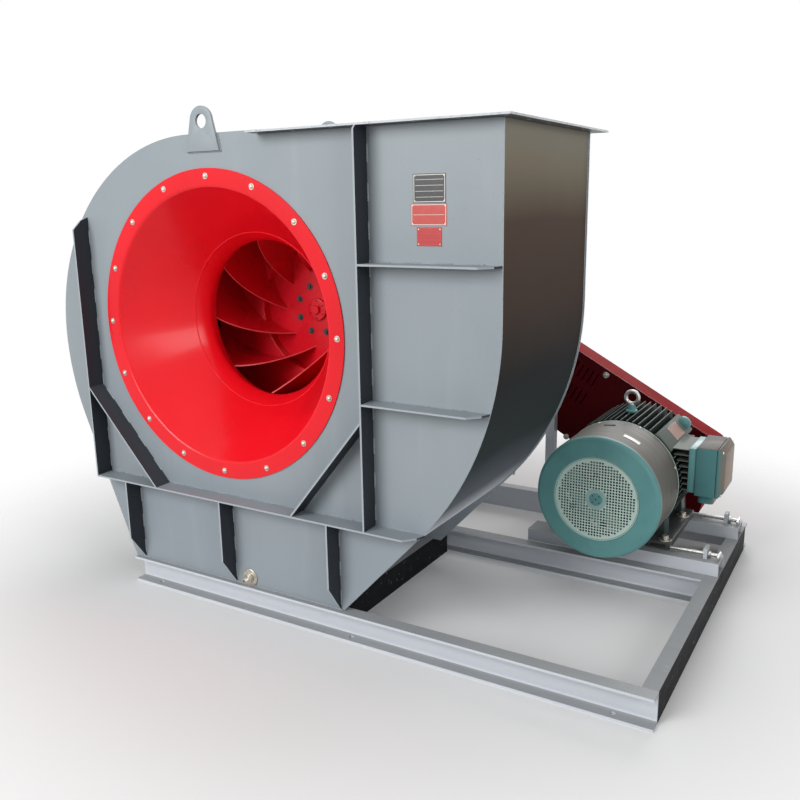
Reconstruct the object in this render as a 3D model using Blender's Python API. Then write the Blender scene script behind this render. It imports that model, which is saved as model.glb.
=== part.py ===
"""Industrial centrifugal fan on a channel-steel base, with a belt drive and an electric motor.

Metres, +Z up. X runs to the right and Y away from a viewer who looks into the inlet.
The unit's own frame has X 0 on the fan axis, Y 0 at the front edge of the base and Z 0 on the floor.
The empty fan_unit carries that frame, and stands so that the whole machine is centred on the origin.
"""

import math

import bmesh
import bpy
from mathutils import Matrix, Vector

# Driving dimensions, in metres

GAP = 0.0003
RUNNING_GAP = 0.0008

CHANNEL_HEIGHT = 0.100
CHANNEL_FLANGE = 0.048
CHANNEL_WEB_WALL = 0.0053
CHANNEL_FLANGE_WALL = 0.0085
CHANNEL_ROOT_RADIUS = 0.008

BASE_LEFT = -0.481
BASE_LENGTH = 2.000
BASE_DEPTH = 1.478
MIDDLE_BEAM_Y = 0.828
CROSS_BEAM_X = 0.452
ANCHOR_HOLE_RADIUS = 0.009
ANCHOR_HOLES_X = (-0.370, 0.511, 1.400)

SCROLL_SQUARE = 0.139
SCROLL_TOP = 0.632
SCROLL_CLEARANCE = 0.007
SCROLL_STEPS = 14
CASING_FRONT_Y = 0.020
CASING_WIDTH = 0.690
SIDE_PLATE_WALL = 0.005
WRAP_WALL = 0.004
PLATE_LIP = 0.005
LEFT_FOOT_SHARE = 0.585
RIGHT_FOOT_SHARE = 0.498
TONGUE_RADIUS = 0.018

OUTLET_LEFT_X = 0.2675
FLANGE_TOP = 0.6255
FLANGE_WALL = 0.006
FLANGE_OVERHANG_X = 0.047
FLANGE_OVERHANG_Y = 0.057
FLANGE_HOLE_RADIUS = 0.006
FLANGE_HOLES_X = 7
FLANGE_HOLES_Y = 6

INLET_RING_RADIUS = 0.525
INLET_MOUTH_RADIUS = 0.471
INLET_BEND_RADIUS = 0.012
INLET_BEND_INSET = 0.004
INLET_CREASE_RADIUS = 0.312
INLET_CREASE_Y = 0.247
INLET_THROAT_RADIUS = 0.283
INLET_THROAT_Y = 0.305
INLET_WALL = 0.004
INLET_HOLE_RADIUS = 0.482

RIB_DEPTH = 0.067
RIB_WALL = 0.006
RIB_END_LENGTH = 0.045
RIB_END_CUTS = ((0.0, 1.9), (0.45, 0.75))
RIB_LEFT_X = -0.592
RIB_RIGHT_X = 0.619
RIB_LEFT_TOP_Z = 0.372
RIB_LONG_Z = -0.592
RIB_UPPER_Z = 0.232
RIB_LOWER_Z = -0.184
RIB_LONG_RIGHT_X = 0.800
DIAGONAL_LEFT = (-0.250, -0.283)
DIAGONAL_RIGHT = (-0.242, 0.334)
LEG_RIBS_X = (-0.441, 0.020, 0.475)
LEG_RIB_TAPER = 0.100

LUG_WIDTH = 0.140
LUG_WALL = 0.010
LUG_BASE_Z = 0.576
LUG_HOLE_Z = 0.669
LUG_HEAD_RADIUS = 0.047
LUG_HOLE_RADIUS = 0.022

DRAIN_X = 0.087
DRAIN_Z = -0.886
DRAIN_HEXAGON = 0.016
DRAIN_HEXAGON_LENGTH = 0.018
DRAIN_NIPPLE = 0.010
DRAIN_LENGTH = 0.038
DRAIN_BORE = 0.006
DRAIN_BORE_DEPTH = 0.014

SEAL_RADIUS = 0.115
SEAL_WALL = 0.008
SEAL_HOLE_RADIUS = 0.062

SHAFT_RADIUS = 0.035
SHAFT_NECK_RADIUS = 0.030
SHAFT_FRONT_Y = 0.5985

WHEEL_RADIUS = 0.500
BACKPLATE_Y = 0.602
BACKPLATE_WALL = 0.008
BLADE_COUNT = 9
BLADE_WALL = 0.005
BLADE_SPIRAL = 1.05
BLADE_START_ANGLE = 223.1
BLADE_INNER_RADIUS = 0.152
BLADE_EYE_Y = 0.335
BLADE_EDGE_BEND = (0.225, 0.410)
BLADE_EDGE_STEPS = 6
BLADE_STEPS = 8
SHROUD_WALL = 0.004
EYE_CLEARANCE = 0.006
EYE_LAP = 0.006
SHROUD_NECK = 0.021
SHROUD_BEND_RADIUS = 0.050
SHROUD_CONE_ANGLE = 16.0

HUB_FLANGE_RADIUS = 0.115
HUB_FLANGE_WALL = 0.018
HUB_BARREL_RADIUS = 0.058
HUB_LENGTH = 0.080
HUB_FILLET_RADIUS = 0.010
HUB_FILLET_LENGTH = 0.012
NOSE_RADIUS = 0.044
NOSE_WALL = 0.012
NOSE_NUT_RADIUS = 0.021
NOSE_NUT_LENGTH = 0.011

BEARING_INSET_Y = 0.082
BEARING_OUTER_RADIUS = 0.0625
HOUSING_WIDTH = 0.100
HOUSING_DOME_RADIUS = 0.088
HOUSING_CENTRE_HEIGHT = 0.112
HOUSING_FOOT_LENGTH = 0.330
HOUSING_FOOT_WALL = 0.032
HOUSING_SHOULDER_RISE = 0.014
HOUSING_CAP_LUG = 0.118
HOUSING_CAP_LUG_WALL = 0.022
INSERT_INSET = 0.003

PEDESTAL_INSET_FRONT = 0.032
PEDESTAL_INSET_REAR = 0.078
PEDESTAL_FOOT_INSET = 0.004
PEDESTAL_WINDOW_MARGIN = 0.160
PEDESTAL_WINDOW_SHARE = 0.56
PEDESTAL_FOOT_WIDTH = 0.600
PEDESTAL_BOTTOM_WIDTH = 0.520
PEDESTAL_TOP_WIDTH = 0.380
PEDESTAL_WALL = 0.008
PEDESTAL_PLATE = 0.016

PULLEY_OVERHANG = 0.062
PULLEY_GROOVES = 4
GROOVE_PITCH = 0.0255
GROOVE_EDGE = 0.017
GROOVE_DEPTH = 0.016
GROOVE_TOP = 0.011
GROOVE_BOTTOM = 0.006
DRIVEN_PULLEY_RADIUS = 0.108
DRIVE_PULLEY_RADIUS = 0.160
PULLEY_RIM = 0.014
PULLEY_HUB = 0.022
PULLEY_RECESS = 0.040
BELT_DEPTH = 0.013
BELT_SIDE_GAP = 0.0006
BELT_ARC_STEPS = 12

GUARD_STANDOFF = 0.0015
GUARD_DEPTH = 0.1205
GUARD_WALL = 0.002
GUARD_LEAN = 0.77
GUARD_ABOVE = 0.160
GUARD_BELOW = 0.212
GUARD_FAN_END = 0.190
GUARD_MOTOR_END_TOP = 0.219
GUARD_MOTOR_END_BOTTOM = 0.337
GUARD_CORNER_RADII = (0.120, 0.060, 0.030, 0.120)
GUARD_ARC_STEPS = 6
GUARD_SHAFT_HOLE = 0.055
GUARD_MOTOR_HOLE = 0.080
GUARD_POST_X = 0.640
GUARD_POST_WIDTH = 0.040
GUARD_POST_LAP = 0.120
LOUVRE_LENGTH = 0.065
LOUVRE_HEIGHT = 0.006
LOUVRE_PITCH = 0.026
LOUVRE_ROW_PITCH = 0.105
LOUVRE_ROWS = 2
LOUVRES_IN_ROW = 7
LOUVRE_CENTRE = (0.845, 0.035)

MOTOR_X = 1.1115
MOTOR_SHAFT_HEIGHT = 0.225
MOTOR_PACKING = 0.004
MOTOR_FRAME_LENGTH = 0.345
MOTOR_SHIELD_LENGTH = 0.068
MOTOR_SHIELD_TO_PULLEY = 0.142
MOTOR_FAN_SHIELD_LENGTH = 0.030
SHIELD_RIM = 0.018
SHIELD_WAIST = 0.034
SHIELD_BOSS = 0.008
SHIELD_WAIST_SHARE = 0.82
SHIELD_BOSS_SHARE = 0.46
MOTOR_CORE_RADIUS = 0.198
MOTOR_FIN_RADIUS = 0.232
MOTOR_FIN_PITCH = 0.022
MOTOR_FIN_WALL = 0.005
MOTOR_FINS = 13
MOTOR_BELLY_CLEARANCE = 0.008
MOTOR_BORE_RADIUS = 0.150
MOTOR_SHAFT_RADIUS = 0.030
MOTOR_FOOT_REACH = 0.2215
MOTOR_FOOT_INNER = 0.128
MOTOR_FOOT_WALL = 0.024
MOTOR_FOOT_LENGTH = 0.405
MOTOR_LEG_LENGTH = 0.070
MOTOR_LEG_INSET = 0.002
MOTOR_LEG_FOOT_INSETS = (0.004, 0.034)
MOTOR_LEG_TOP = ((0.180, -0.080), (0.100, -0.130))
MOTOR_PAD_WIDTH = 0.082
MOTOR_PAD_RADIUS = 0.236
MOTOR_PAD_ANGLE = 45.0

COWL_LENGTH = 0.2735
COWL_RAIL_CLEARANCE = 0.0015
COWL_WALL = 0.0025
COWL_CORNER_RADIUS = 0.018
COWL_FACE_RISE = 0.008
GRILLE_RADIUS = 0.151
GRILLE_RECESS = 0.003
GRILLE_SEAT = 0.010
GRILLE_HOLE = 0.023
GRILLE_PITCH = 0.035
COOLING_FAN_INSET = 0.041
COOLING_FAN_WIDTH = 0.085
COOLING_FAN_RADIUS = 0.185
COOLING_HUB_RADIUS = 0.055
COOLING_BLADES = 8
COOLING_BLADE_WALL = 0.004
COOLING_SHAFT_TIP = 0.005
ROTOR_CORE_INSET = 0.045
ROTOR_AIR_GAP = 0.002
FAN_SEAT_SHARE = 0.8

BOX_LEFT_X = 0.2785
BOX_RIGHT_X = 0.3525
BOX_SETBACK = 0.015
BOX_LENGTH = 0.205
BOX_BOTTOM_Z = -0.030
BOX_TOP_Z = 0.156
BOX_WALL = 0.005
BOX_SADDLE_INSET = 0.008
LID_WALL = 0.028
LID_BEVEL = 0.020
GLAND_INSET_X = 0.008
GLAND_INSET_Y = 0.028
GLAND_LENGTH = 0.100
GLAND_DEPTH = 0.035

EYE_SETBACK = 0.145
EYE_RADIUS = 0.0245
EYE_BAR_RADIUS = 0.0075
EYE_COLLAR_RADIUS = 0.022
EYE_COLLAR_HEIGHT = 0.032

RAIL_LEFT_X = 0.790
RAIL_LENGTH = 0.725
FRONT_RAIL_SETBACK = 0.0035
REAR_RAIL_SETBACK = 0.010
RAIL_SLOT_WIDTH = 0.018
RAIL_SLOT_LENGTH = 0.150
RAIL_SLOTS_X = (0.937, 1.293)
STOP_X = 1.455
STOP_WALL = 0.014
STOP_WIDTH = 0.040
STOP_HEIGHT = 0.040
STOP_WELD = 0.002
SCREW_RADIUS = 0.007
SCREW_HEIGHT = 0.013
SCREW_END_X = 1.512
SCREW_HANDLE = 0.060

ROUND = 36
SMALL_ROUND = 20
TINY_ROUND = 8

# Sizes that follow from the driving dimensions

BASE_RIGHT = BASE_LEFT + BASE_LENGTH
BASE_TOP = CHANNEL_HEIGHT
CASING_REAR_Y = CASING_FRONT_Y + CASING_WIDTH
HALF_SQUARE = SCROLL_SQUARE / 2
SCROLL_RADII = [SCROLL_TOP - HALF_SQUARE + SCROLL_SQUARE * step for step in range(4)]
AXIS_HEIGHT = BASE_TOP + SCROLL_RADII[2] + HALF_SQUARE + SCROLL_CLEARANCE
FOOT_Z = BASE_TOP + GAP - AXIS_HEIGHT
LEFT_FOOT_X = -SCROLL_RADII[2] * LEFT_FOOT_SHARE
RIGHT_FOOT_X = SCROLL_RADII[3] * RIGHT_FOOT_SHARE
SCROLL_CENTRES = [
    (-HALF_SQUARE, HALF_SQUARE),
    (-HALF_SQUARE, -HALF_SQUARE),
    (HALF_SQUARE, -HALF_SQUARE),
    (HALF_SQUARE, HALF_SQUARE),
]
SCROLL_LEFT = SCROLL_CENTRES[1][0] - SCROLL_RADII[1]
SCROLL_RIGHT = SCROLL_CENTRES[3][0] + SCROLL_RADII[3]
OUTLET_RIGHT_X = SCROLL_RIGHT - PLATE_LIP
FLANGE_UNDERSIDE = FLANGE_TOP - FLANGE_WALL
FLANGE_LEFT_X = OUTLET_LEFT_X - FLANGE_OVERHANG_X
FLANGE_RIGHT_X = OUTLET_RIGHT_X + FLANGE_OVERHANG_X
FLANGE_FRONT_Y = CASING_FRONT_Y - FLANGE_OVERHANG_Y
FLANGE_REAR_Y = CASING_REAR_Y + FLANGE_OVERHANG_Y
RAIL_TOP = BASE_TOP + CHANNEL_FLANGE
MOTOR_RISE = MOTOR_SHAFT_HEIGHT + MOTOR_PACKING
MOTOR_Z = RAIL_TOP + MOTOR_RISE
PEDESTAL_FRONT_Y = MIDDLE_BEAM_Y + PEDESTAL_INSET_FRONT
PEDESTAL_REAR_Y = BASE_DEPTH - PEDESTAL_INSET_REAR
BEARING_FRONT_Y = PEDESTAL_FRONT_Y + BEARING_INSET_Y
BEARING_REAR_Y = PEDESTAL_REAR_Y - BEARING_INSET_Y
PULLEY_CENTRE_Y = BASE_DEPTH + PULLEY_OVERHANG
GUARD_FRONT_Y = BASE_DEPTH + GUARD_STANDOFF
GUARD_REAR_Y = GUARD_FRONT_Y + GUARD_DEPTH
MOTOR_SHIELD_REAR_Y = PULLEY_CENTRE_Y - MOTOR_SHIELD_TO_PULLEY
MOTOR_FRAME_REAR_Y = MOTOR_SHIELD_REAR_Y - MOTOR_SHIELD_LENGTH
MOTOR_FRAME_FRONT_Y = MOTOR_FRAME_REAR_Y - MOTOR_FRAME_LENGTH
MOTOR_FOOT_REAR_Y = MOTOR_FRAME_REAR_Y
MOTOR_FOOT_FRONT_Y = MOTOR_FOOT_REAR_Y - MOTOR_FOOT_LENGTH
FRONT_RAIL_Y = MOTOR_FOOT_FRONT_Y + FRONT_RAIL_SETBACK
REAR_RAIL_Y = MOTOR_FOOT_REAR_Y - REAR_RAIL_SETBACK
COWL_RADIUS = MOTOR_RISE - COWL_RAIL_CLEARANCE
COWL_FRONT_Y = MOTOR_FRAME_FRONT_Y - COWL_LENGTH
COOLING_FAN_FRONT_Y = COWL_FRONT_Y + COOLING_FAN_INSET
BOX_FRONT_Y = MOTOR_FRAME_FRONT_Y + BOX_SETBACK
BOX_REAR_Y = BOX_FRONT_Y + BOX_LENGTH
EYE_Y = MOTOR_FRAME_FRONT_Y + EYE_SETBACK
SHROUD_CURVE_END = 90.0 - SHROUD_CONE_ANGLE
SHROUD_EYE_RADIUS = INLET_THROAT_RADIUS + INLET_WALL + EYE_CLEARANCE
SHROUD_EYE_Y = INLET_THROAT_Y - EYE_LAP
RIB_FRONT_FACE_Y = CASING_FRONT_Y - GAP
RIB_REAR_FACE_Y = CASING_REAR_Y + GAP
UNIT_X = -(SCROLL_LEFT + BASE_RIGHT) / 2
UNIT_Y = -(RIB_FRONT_FACE_Y - RIB_DEPTH + GUARD_REAR_Y) / 2


# Paints and metals


def finish(name, colour, roughness, metallic=0.0):
    material = bpy.data.materials.new(name)
    material.use_nodes = True
    shader = material.node_tree.nodes["Principled BSDF"]
    shader.inputs["Base Color"].default_value = (*colour, 1.0)
    shader.inputs["Roughness"].default_value = roughness
    shader.inputs["Metallic"].default_value = metallic
    material.diffuse_color = (*colour, 1.0)
    return material


CASING_GREY = ("casing_grey", (0.37, 0.41, 0.45), 0.35)
RIB_GREY = ("rib_grey", (0.30, 0.33, 0.36), 0.40)
BASE_GREY = ("base_grey", (0.40, 0.41, 0.43), 0.42)
FAN_RED = ("fan_red", (0.80, 0.02, 0.03), 0.28)
GUARD_RED = ("guard_red", (0.55, 0.02, 0.03), 0.35)
MOTOR_TEAL = ("motor_teal", (0.13, 0.34, 0.35), 0.38)
BRIGHT_STEEL = ("bright_steel", (0.62, 0.62, 0.60), 0.25, 1.0)
CAST_IRON = ("cast_iron", (0.12, 0.13, 0.14), 0.55, 0.6)
BELT_RUBBER = ("belt_rubber", (0.02, 0.02, 0.02), 0.70)


# Modelling helpers


def add(name, bm, paint, parent, smooth=False):
    """Turns a bmesh into a named object with its own material; smooth suits a turned or rolled piece."""
    bmesh.ops.remove_doubles(bm, verts=bm.verts, dist=1e-6)
    bmesh.ops.recalc_face_normals(bm, faces=bm.faces)
    mesh = bpy.data.meshes.new(name)
    bm.to_mesh(mesh)
    bm.free()
    if smooth:
        mesh.shade_smooth()
        mesh.set_sharp_from_angle(angle=math.radians(30))
    piece = bpy.data.objects.new(name, mesh)
    bpy.context.scene.collection.objects.link(piece)
    piece.data.materials.append(finish(f"{name}_{paint[0]}", *paint[1:]))
    piece.parent = parent
    return piece


def tool(name, bm, parent):
    """A shape that only cuts or joins: it is left out of the model itself."""
    shape = add(name, bm, CAST_IRON, parent)
    shape.hide_render = True
    shape.display_type = "WIRE"
    return shape


def combine(piece, other, operation):
    modifier = piece.modifiers.new(f"{operation.lower()}_{other.name}", "BOOLEAN")
    modifier.operation = operation
    modifier.solver = "EXACT"
    modifier.object = other


def cut(piece, *tools):
    for shape in tools:
        combine(piece, shape, "DIFFERENCE")


def weld(piece, *tools):
    for shape in tools:
        combine(piece, shape, "UNION")


def marker(name, location, parent=None):
    empty = bpy.data.objects.new(name, None)
    bpy.context.scene.collection.objects.link(empty)
    empty.location = location
    empty.parent = parent
    return empty


def place_across(axis, height, point):
    """The 3-D point for a 2-D outline point that lies across the given axis."""
    a, b = point
    return {"X": (height, a, b), "Y": (a, height, b), "Z": (a, b, height)}[axis]


def extrude_outline(bm, outline, axis, low, high):
    verts = [bm.verts.new(place_across(axis, low, point)) for point in outline]
    face = bm.faces.new(verts)
    grown = bmesh.ops.extrude_face_region(bm, geom=[face])["geom"]
    moved = [item for item in grown if isinstance(item, bmesh.types.BMVert)]
    shift = Vector(place_across(axis, high - low, (0, 0)))
    bmesh.ops.translate(bm, verts=moved, vec=shift)


def prism(outline, axis, low, high):
    bm = bmesh.new()
    extrude_outline(bm, outline, axis, low, high)
    return bm


def rectangle(a_low, b_low, a_high, b_high):
    return [(a_low, b_low), (a_high, b_low), (a_high, b_high), (a_low, b_high)]


def turned(profile, segments=ROUND, closed=True):
    """Spins a profile of (radius, y) points round the Y axis."""
    bm = bmesh.new()
    verts = [bm.verts.new((radius, y, 0)) for radius, y in profile]
    edges = [bm.edges.new(pair) for pair in zip(verts, verts[1:])]
    if closed:
        edges.append(bm.edges.new((verts[-1], verts[0])))
    bmesh.ops.spin(
        bm, geom=verts + edges, cent=(0, 0, 0), axis=(0, 1, 0),
        angle=2 * math.pi, steps=segments, use_merge=True,
    )
    return bm


def add_cylinder(bm, radius, centre, axis, length, segments):
    turn = {
        "X": Matrix.Rotation(math.pi / 2, 4, "Y"),
        "Y": Matrix.Rotation(math.pi / 2, 4, "X"),
        "Z": Matrix.Identity(4),
    }[axis]
    bmesh.ops.create_cone(
        bm, cap_ends=True, segments=segments, radius1=radius, radius2=radius,
        depth=length, matrix=Matrix.Translation(centre) @ turn,
    )


def cylinder(radius, centre, axis, length, segments=SMALL_ROUND):
    bm = bmesh.new()
    add_cylinder(bm, radius, centre, axis, length, segments)
    return bm


def arc(centre, radius, start, end, steps):
    """Points along an arc, in degrees counted from +X towards +Z, both ends included."""
    angles = [start + (end - start) * step / steps for step in range(steps + 1)]
    turns = [math.radians(angle) for angle in angles]
    return [(centre[0] + radius * math.cos(turn), centre[1] + radius * math.sin(turn)) for turn in turns]


def tangent_angle(centre, radius, point, side):
    """The angle at which a line from the point touches the circle."""
    dx, dz = point[0] - centre[0], point[1] - centre[1]
    spread = math.degrees(math.acos(radius / math.hypot(dx, dz)))
    return math.degrees(math.atan2(dz, dx)) + side * spread


def ribbon(path, wall):
    """The closed outline of a sheet of the given thickness that is bent along the path."""
    left, right = [], []
    for index, point in enumerate(path):
        before = path[max(index - 1, 0)]
        after = path[min(index + 1, len(path) - 1)]
        into = Vector((point[0] - before[0], point[1] - before[1]))
        out = Vector((after[0] - point[0], after[1] - point[1]))
        into = into.normalized() if into.length else out.normalized()
        out = out.normalized() if out.length else into
        middle = (into + out).normalized()
        stretch = wall / 2 / max(middle.dot(out), 0.5)
        left.append((point[0] - middle.y * stretch, point[1] + middle.x * stretch))
        right.append((point[0] + middle.y * stretch, point[1] - middle.x * stretch))
    return left + right[::-1]


# Base frame of rolled channels


def channel_section():
    """Channel outline as (out from the web, up): the web stands at 0 and the flanges reach out."""
    web, wall, radius = CHANNEL_WEB_WALL, CHANNEL_FLANGE_WALL, CHANNEL_ROOT_RADIUS
    flange, height = CHANNEL_FLANGE, CHANNEL_HEIGHT
    low_root = arc((web + radius, wall + radius), radius, 270, 180, 2)
    high_root = arc((web + radius, height - wall - radius), radius, 180, 90, 2)
    lower = [(0, 0), (flange, 0), (flange, wall), *low_root]
    upper = [*high_root, (flange, height - wall), (flange, height), (0, height)]
    return lower + upper


def beam_along_x(name, left, right, web_y, flange_side, parent):
    outline = [(web_y + flange_side * out, up) for out, up in channel_section()]
    return add(name, prism(outline, "X", left, right), BASE_GREY, parent)


def beam_along_y(name, front, rear, web_x, flange_side, parent):
    outline = [(web_x + flange_side * out, up) for out, up in channel_section()]
    return add(name, prism(outline, "Y", front, rear), BASE_GREY, parent)


def build_base(unit):
    front = beam_along_x("front_channel", BASE_LEFT, BASE_RIGHT, CHANNEL_FLANGE, -1, unit)
    rear_web = BASE_DEPTH - CHANNEL_FLANGE
    rear = beam_along_x("rear_channel", BASE_LEFT, BASE_RIGHT, rear_web, 1, unit)
    ends = (CHANNEL_FLANGE + GAP, rear_web - GAP)
    beam_along_y("left_end_channel", *ends, BASE_LEFT, 1, unit)
    beam_along_y("right_end_channel", *ends, BASE_RIGHT, -1, unit)
    inner_left = BASE_LEFT + CHANNEL_FLANGE + GAP
    inner_right = BASE_RIGHT - CHANNEL_FLANGE - GAP
    beam_along_x("middle_channel", inner_left, inner_right, MIDDLE_BEAM_Y + CHANNEL_FLANGE, -1, unit)
    beam_along_y("cross_channel", CHANNEL_FLANGE + GAP, MIDDLE_BEAM_Y - GAP, CROSS_BEAM_X, -1, unit)
    for beam, flange_y in ((front, CHANNEL_FLANGE / 2), (rear, BASE_DEPTH - CHANNEL_FLANGE / 2)):
        holes = bmesh.new()
        for x in ANCHOR_HOLES_X:
            centre = (x, flange_y, CHANNEL_FLANGE_WALL / 2)
            add_cylinder(holes, ANCHOR_HOLE_RADIUS, centre, "Z", CHANNEL_FLANGE_WALL * 2, TINY_ROUND)
        cut(beam, tool(f"{beam.name}_holes", holes, unit))


# Scroll casing. Outlines are (x, z) from the fan axis, and the scroll is drawn with four arcs
# whose centres are the corners of a small square round the axis.


def scroll_arc(index, inset, start, end, steps=SCROLL_STEPS):
    return arc(SCROLL_CENTRES[index], SCROLL_RADII[index] - inset, start, end, steps)


def side_plate_outline():
    right_foot = (RIGHT_FOOT_X, FOOT_Z)
    left_foot = (LEFT_FOOT_X, FOOT_Z)
    right_touch = tangent_angle(SCROLL_CENTRES[3], SCROLL_RADII[3], right_foot, 1)
    left_touch = tangent_angle(SCROLL_CENTRES[2], SCROLL_RADII[2], left_foot, -1) + 360
    top = FLANGE_UNDERSIDE - GAP
    step_x = FLANGE_LEFT_X - GAP
    outline = [(step_x, SCROLL_TOP), (step_x, top), (SCROLL_RIGHT, top)]
    outline += scroll_arc(3, 0, 0, right_touch)
    outline += [right_foot, left_foot]
    outline += scroll_arc(2, 0, left_touch, 180, 4)
    outline += scroll_arc(1, 0, 180, 90)[1:]
    return outline


def wrap_path():
    """Centre line of the scroll sheet, from the right outlet edge round to the left one."""
    inset = PLATE_LIP + WRAP_WALL / 2
    top = FLANGE_UNDERSIDE - GAP
    path = [(SCROLL_RIGHT - inset, top)]
    path += scroll_arc(3, inset, 0, -90)
    path += scroll_arc(2, inset, 270, 180)[1:]
    path += scroll_arc(1, inset, 180, 90)[1:]
    centre, radius = SCROLL_CENTRES[0], SCROLL_RADII[0] - inset
    wall_x = OUTLET_LEFT_X + WRAP_WALL / 2
    fold_x = wall_x - TONGUE_RADIUS
    reach = fold_x - centre[0]
    fold_z = centre[1] + math.sqrt((radius + TONGUE_RADIUS) ** 2 - reach**2)
    touch = math.degrees(math.atan2(fold_z - centre[1], reach))
    path += arc(centre, radius, 90, touch, 6)[1:]
    path += arc((fold_x, fold_z), TONGUE_RADIUS, touch - 180, 0, 6)[1:]
    path.append((wall_x, top))
    return path


def rectangle_frame(outer, inner, low, high):
    """Flat rectangular ring lying across Z, with the same number of corners inside and out."""
    bm = bmesh.new()
    rings = [[bm.verts.new((x, y, low)) for x, y in rectangle(*corners)] for corners in (outer, inner)]
    faces = []
    for side in range(4):
        after = (side + 1) % 4
        faces.append(bm.faces.new((rings[0][side], rings[0][after], rings[1][after], rings[1][side])))
    grown = bmesh.ops.extrude_face_region(bm, geom=faces)["geom"]
    moved = [item for item in grown if isinstance(item, bmesh.types.BMVert)]
    bmesh.ops.translate(bm, verts=moved, vec=(0, 0, high - low))
    return bm


def spread(low, high, count):
    return [low + (high - low) * step / (count - 1) for step in range(count)]


def flange_holes():
    """Bolt holes along the middle of each bar of the outlet flange."""
    bm = bmesh.new()
    inset_x, inset_y = FLANGE_OVERHANG_X / 2, FLANGE_OVERHANG_Y / 2
    left, right = FLANGE_LEFT_X + inset_x, FLANGE_RIGHT_X - inset_x
    front, rear = FLANGE_FRONT_Y + inset_y, FLANGE_REAR_Y - inset_y
    points = [(x, y) for x in spread(left, right, FLANGE_HOLES_X) for y in (front, rear)]
    points += [(x, y) for y in spread(front, rear, FLANGE_HOLES_Y)[1:-1] for x in (left, right)]
    for x, y in points:
        add_cylinder(bm, FLANGE_HOLE_RADIUS, (x, y, FLANGE_TOP - FLANGE_WALL / 2), "Z", FLANGE_WALL * 3, 6)
    return bm


def build_casing(axis):
    outline = side_plate_outline()
    front_inner = CASING_FRONT_Y + SIDE_PLATE_WALL
    rear_inner = CASING_REAR_Y - SIDE_PLATE_WALL
    front = add("front_side_plate", prism(outline, "Y", CASING_FRONT_Y, front_inner), CASING_GREY, axis)
    middle_y = (CASING_FRONT_Y + front_inner) / 2
    mouth = cylinder(INLET_HOLE_RADIUS, (0, middle_y, 0), "Y", SIDE_PLATE_WALL * 3, ROUND)
    cut(front, tool("inlet_hole", mouth, axis))
    rear = add("rear_side_plate", prism(outline, "Y", rear_inner, CASING_REAR_Y), CASING_GREY, axis)
    shaft_hole = cylinder(SEAL_HOLE_RADIUS, (0, rear_inner, 0), "Y", SIDE_PLATE_WALL * 4)
    cut(rear, tool("shaft_hole", shaft_hole, axis))
    sheet = prism(ribbon(wrap_path(), WRAP_WALL), "Y", front_inner + GAP, rear_inner - GAP)
    add("scroll_wrap", sheet, CASING_GREY, axis, smooth=True)
    flange = rectangle_frame(
        (FLANGE_LEFT_X, FLANGE_FRONT_Y, FLANGE_RIGHT_X, FLANGE_REAR_Y),
        (OUTLET_LEFT_X + WRAP_WALL, front_inner, OUTLET_RIGHT_X - WRAP_WALL, rear_inner),
        FLANGE_UNDERSIDE, FLANGE_TOP,
    )
    ring = add("outlet_flange", flange, CASING_GREY, axis)
    cut(ring, tool("flange_bolt_holes", flange_holes(), axis))


def build_inlet(axis):
    ring_y = CASING_FRONT_Y - GAP - INLET_WALL / 2
    bend_centre = (INLET_MOUTH_RADIUS + INLET_BEND_INSET, ring_y + INLET_BEND_RADIUS)
    mouth_bend = arc(bend_centre, INLET_BEND_RADIUS, 270, 215, 2)
    path = [
        (INLET_RING_RADIUS, ring_y), *mouth_bend,
        (INLET_CREASE_RADIUS + INLET_WALL / 2, INLET_CREASE_Y),
        (INLET_THROAT_RADIUS + INLET_WALL / 2, INLET_THROAT_Y),
    ]
    add("inlet_cone", turned(ribbon(path, INLET_WALL)), FAN_RED, axis, smooth=True)


def build_shaft_seal(axis):
    inner = SHAFT_RADIUS + RUNNING_GAP
    low, high = CASING_REAR_Y + GAP, CASING_REAR_Y + GAP + SEAL_WALL
    boss = high + SEAL_WALL
    profile = [
        (inner, low), (SEAL_RADIUS, low), (SEAL_RADIUS, high),
        (SEAL_HOLE_RADIUS, high), (SEAL_HOLE_RADIUS - SEAL_WALL, boss), (inner, boss),
    ]
    add("rear_shaft_seal", turned(profile, SMALL_ROUND), CASING_GREY, axis, smooth=True)


# Flat bars welded on edge to the side plates


def bar(outline, face_y, side):
    """A flat bar on edge: side -1 stands out in front of the casing, side 1 behind it."""
    low, high = sorted((face_y, face_y + side * RIB_DEPTH))
    return prism(outline, "Y", low, high)


def trim(bm, point, normal):
    """Cuts the bar with a plane and closes the cut, which leaves a tapered end."""
    geometry = bm.verts[:] + bm.edges[:] + bm.faces[:]
    result = bmesh.ops.bisect_plane(bm, geom=geometry, plane_co=point, plane_no=normal, clear_outer=True)
    edges = [item for item in result["geom_cut"] if isinstance(item, bmesh.types.BMEdge)]
    bmesh.ops.contextual_create(bm, geom=edges)


def taper(bm, end, direction, face_y, side):
    """Slopes a bar's outer edge back from its end with two flat cuts, which look like a rounded knee."""
    slope = RIB_DEPTH / RIB_END_LENGTH
    dx, dz = direction
    for share, lean in RIB_END_CUTS:
        start = Vector((end[0], face_y, end[1])) - Vector((dx, 0, dz)) * RIB_END_LENGTH * share / 2
        start.y += side * RIB_DEPTH * share
        trim(bm, start, (dx * lean * slope, side, dz * lean * slope))


def vertical_bar(x, low, high, face_y, side):
    half = RIB_WALL / 2
    return bar(rectangle(x - half, low, x + half, high), face_y, side)


def level_bar(left, right, z, face_y, side):
    half = RIB_WALL / 2
    return bar(rectangle(left, z - half, right, z + half), face_y, side)


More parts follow.
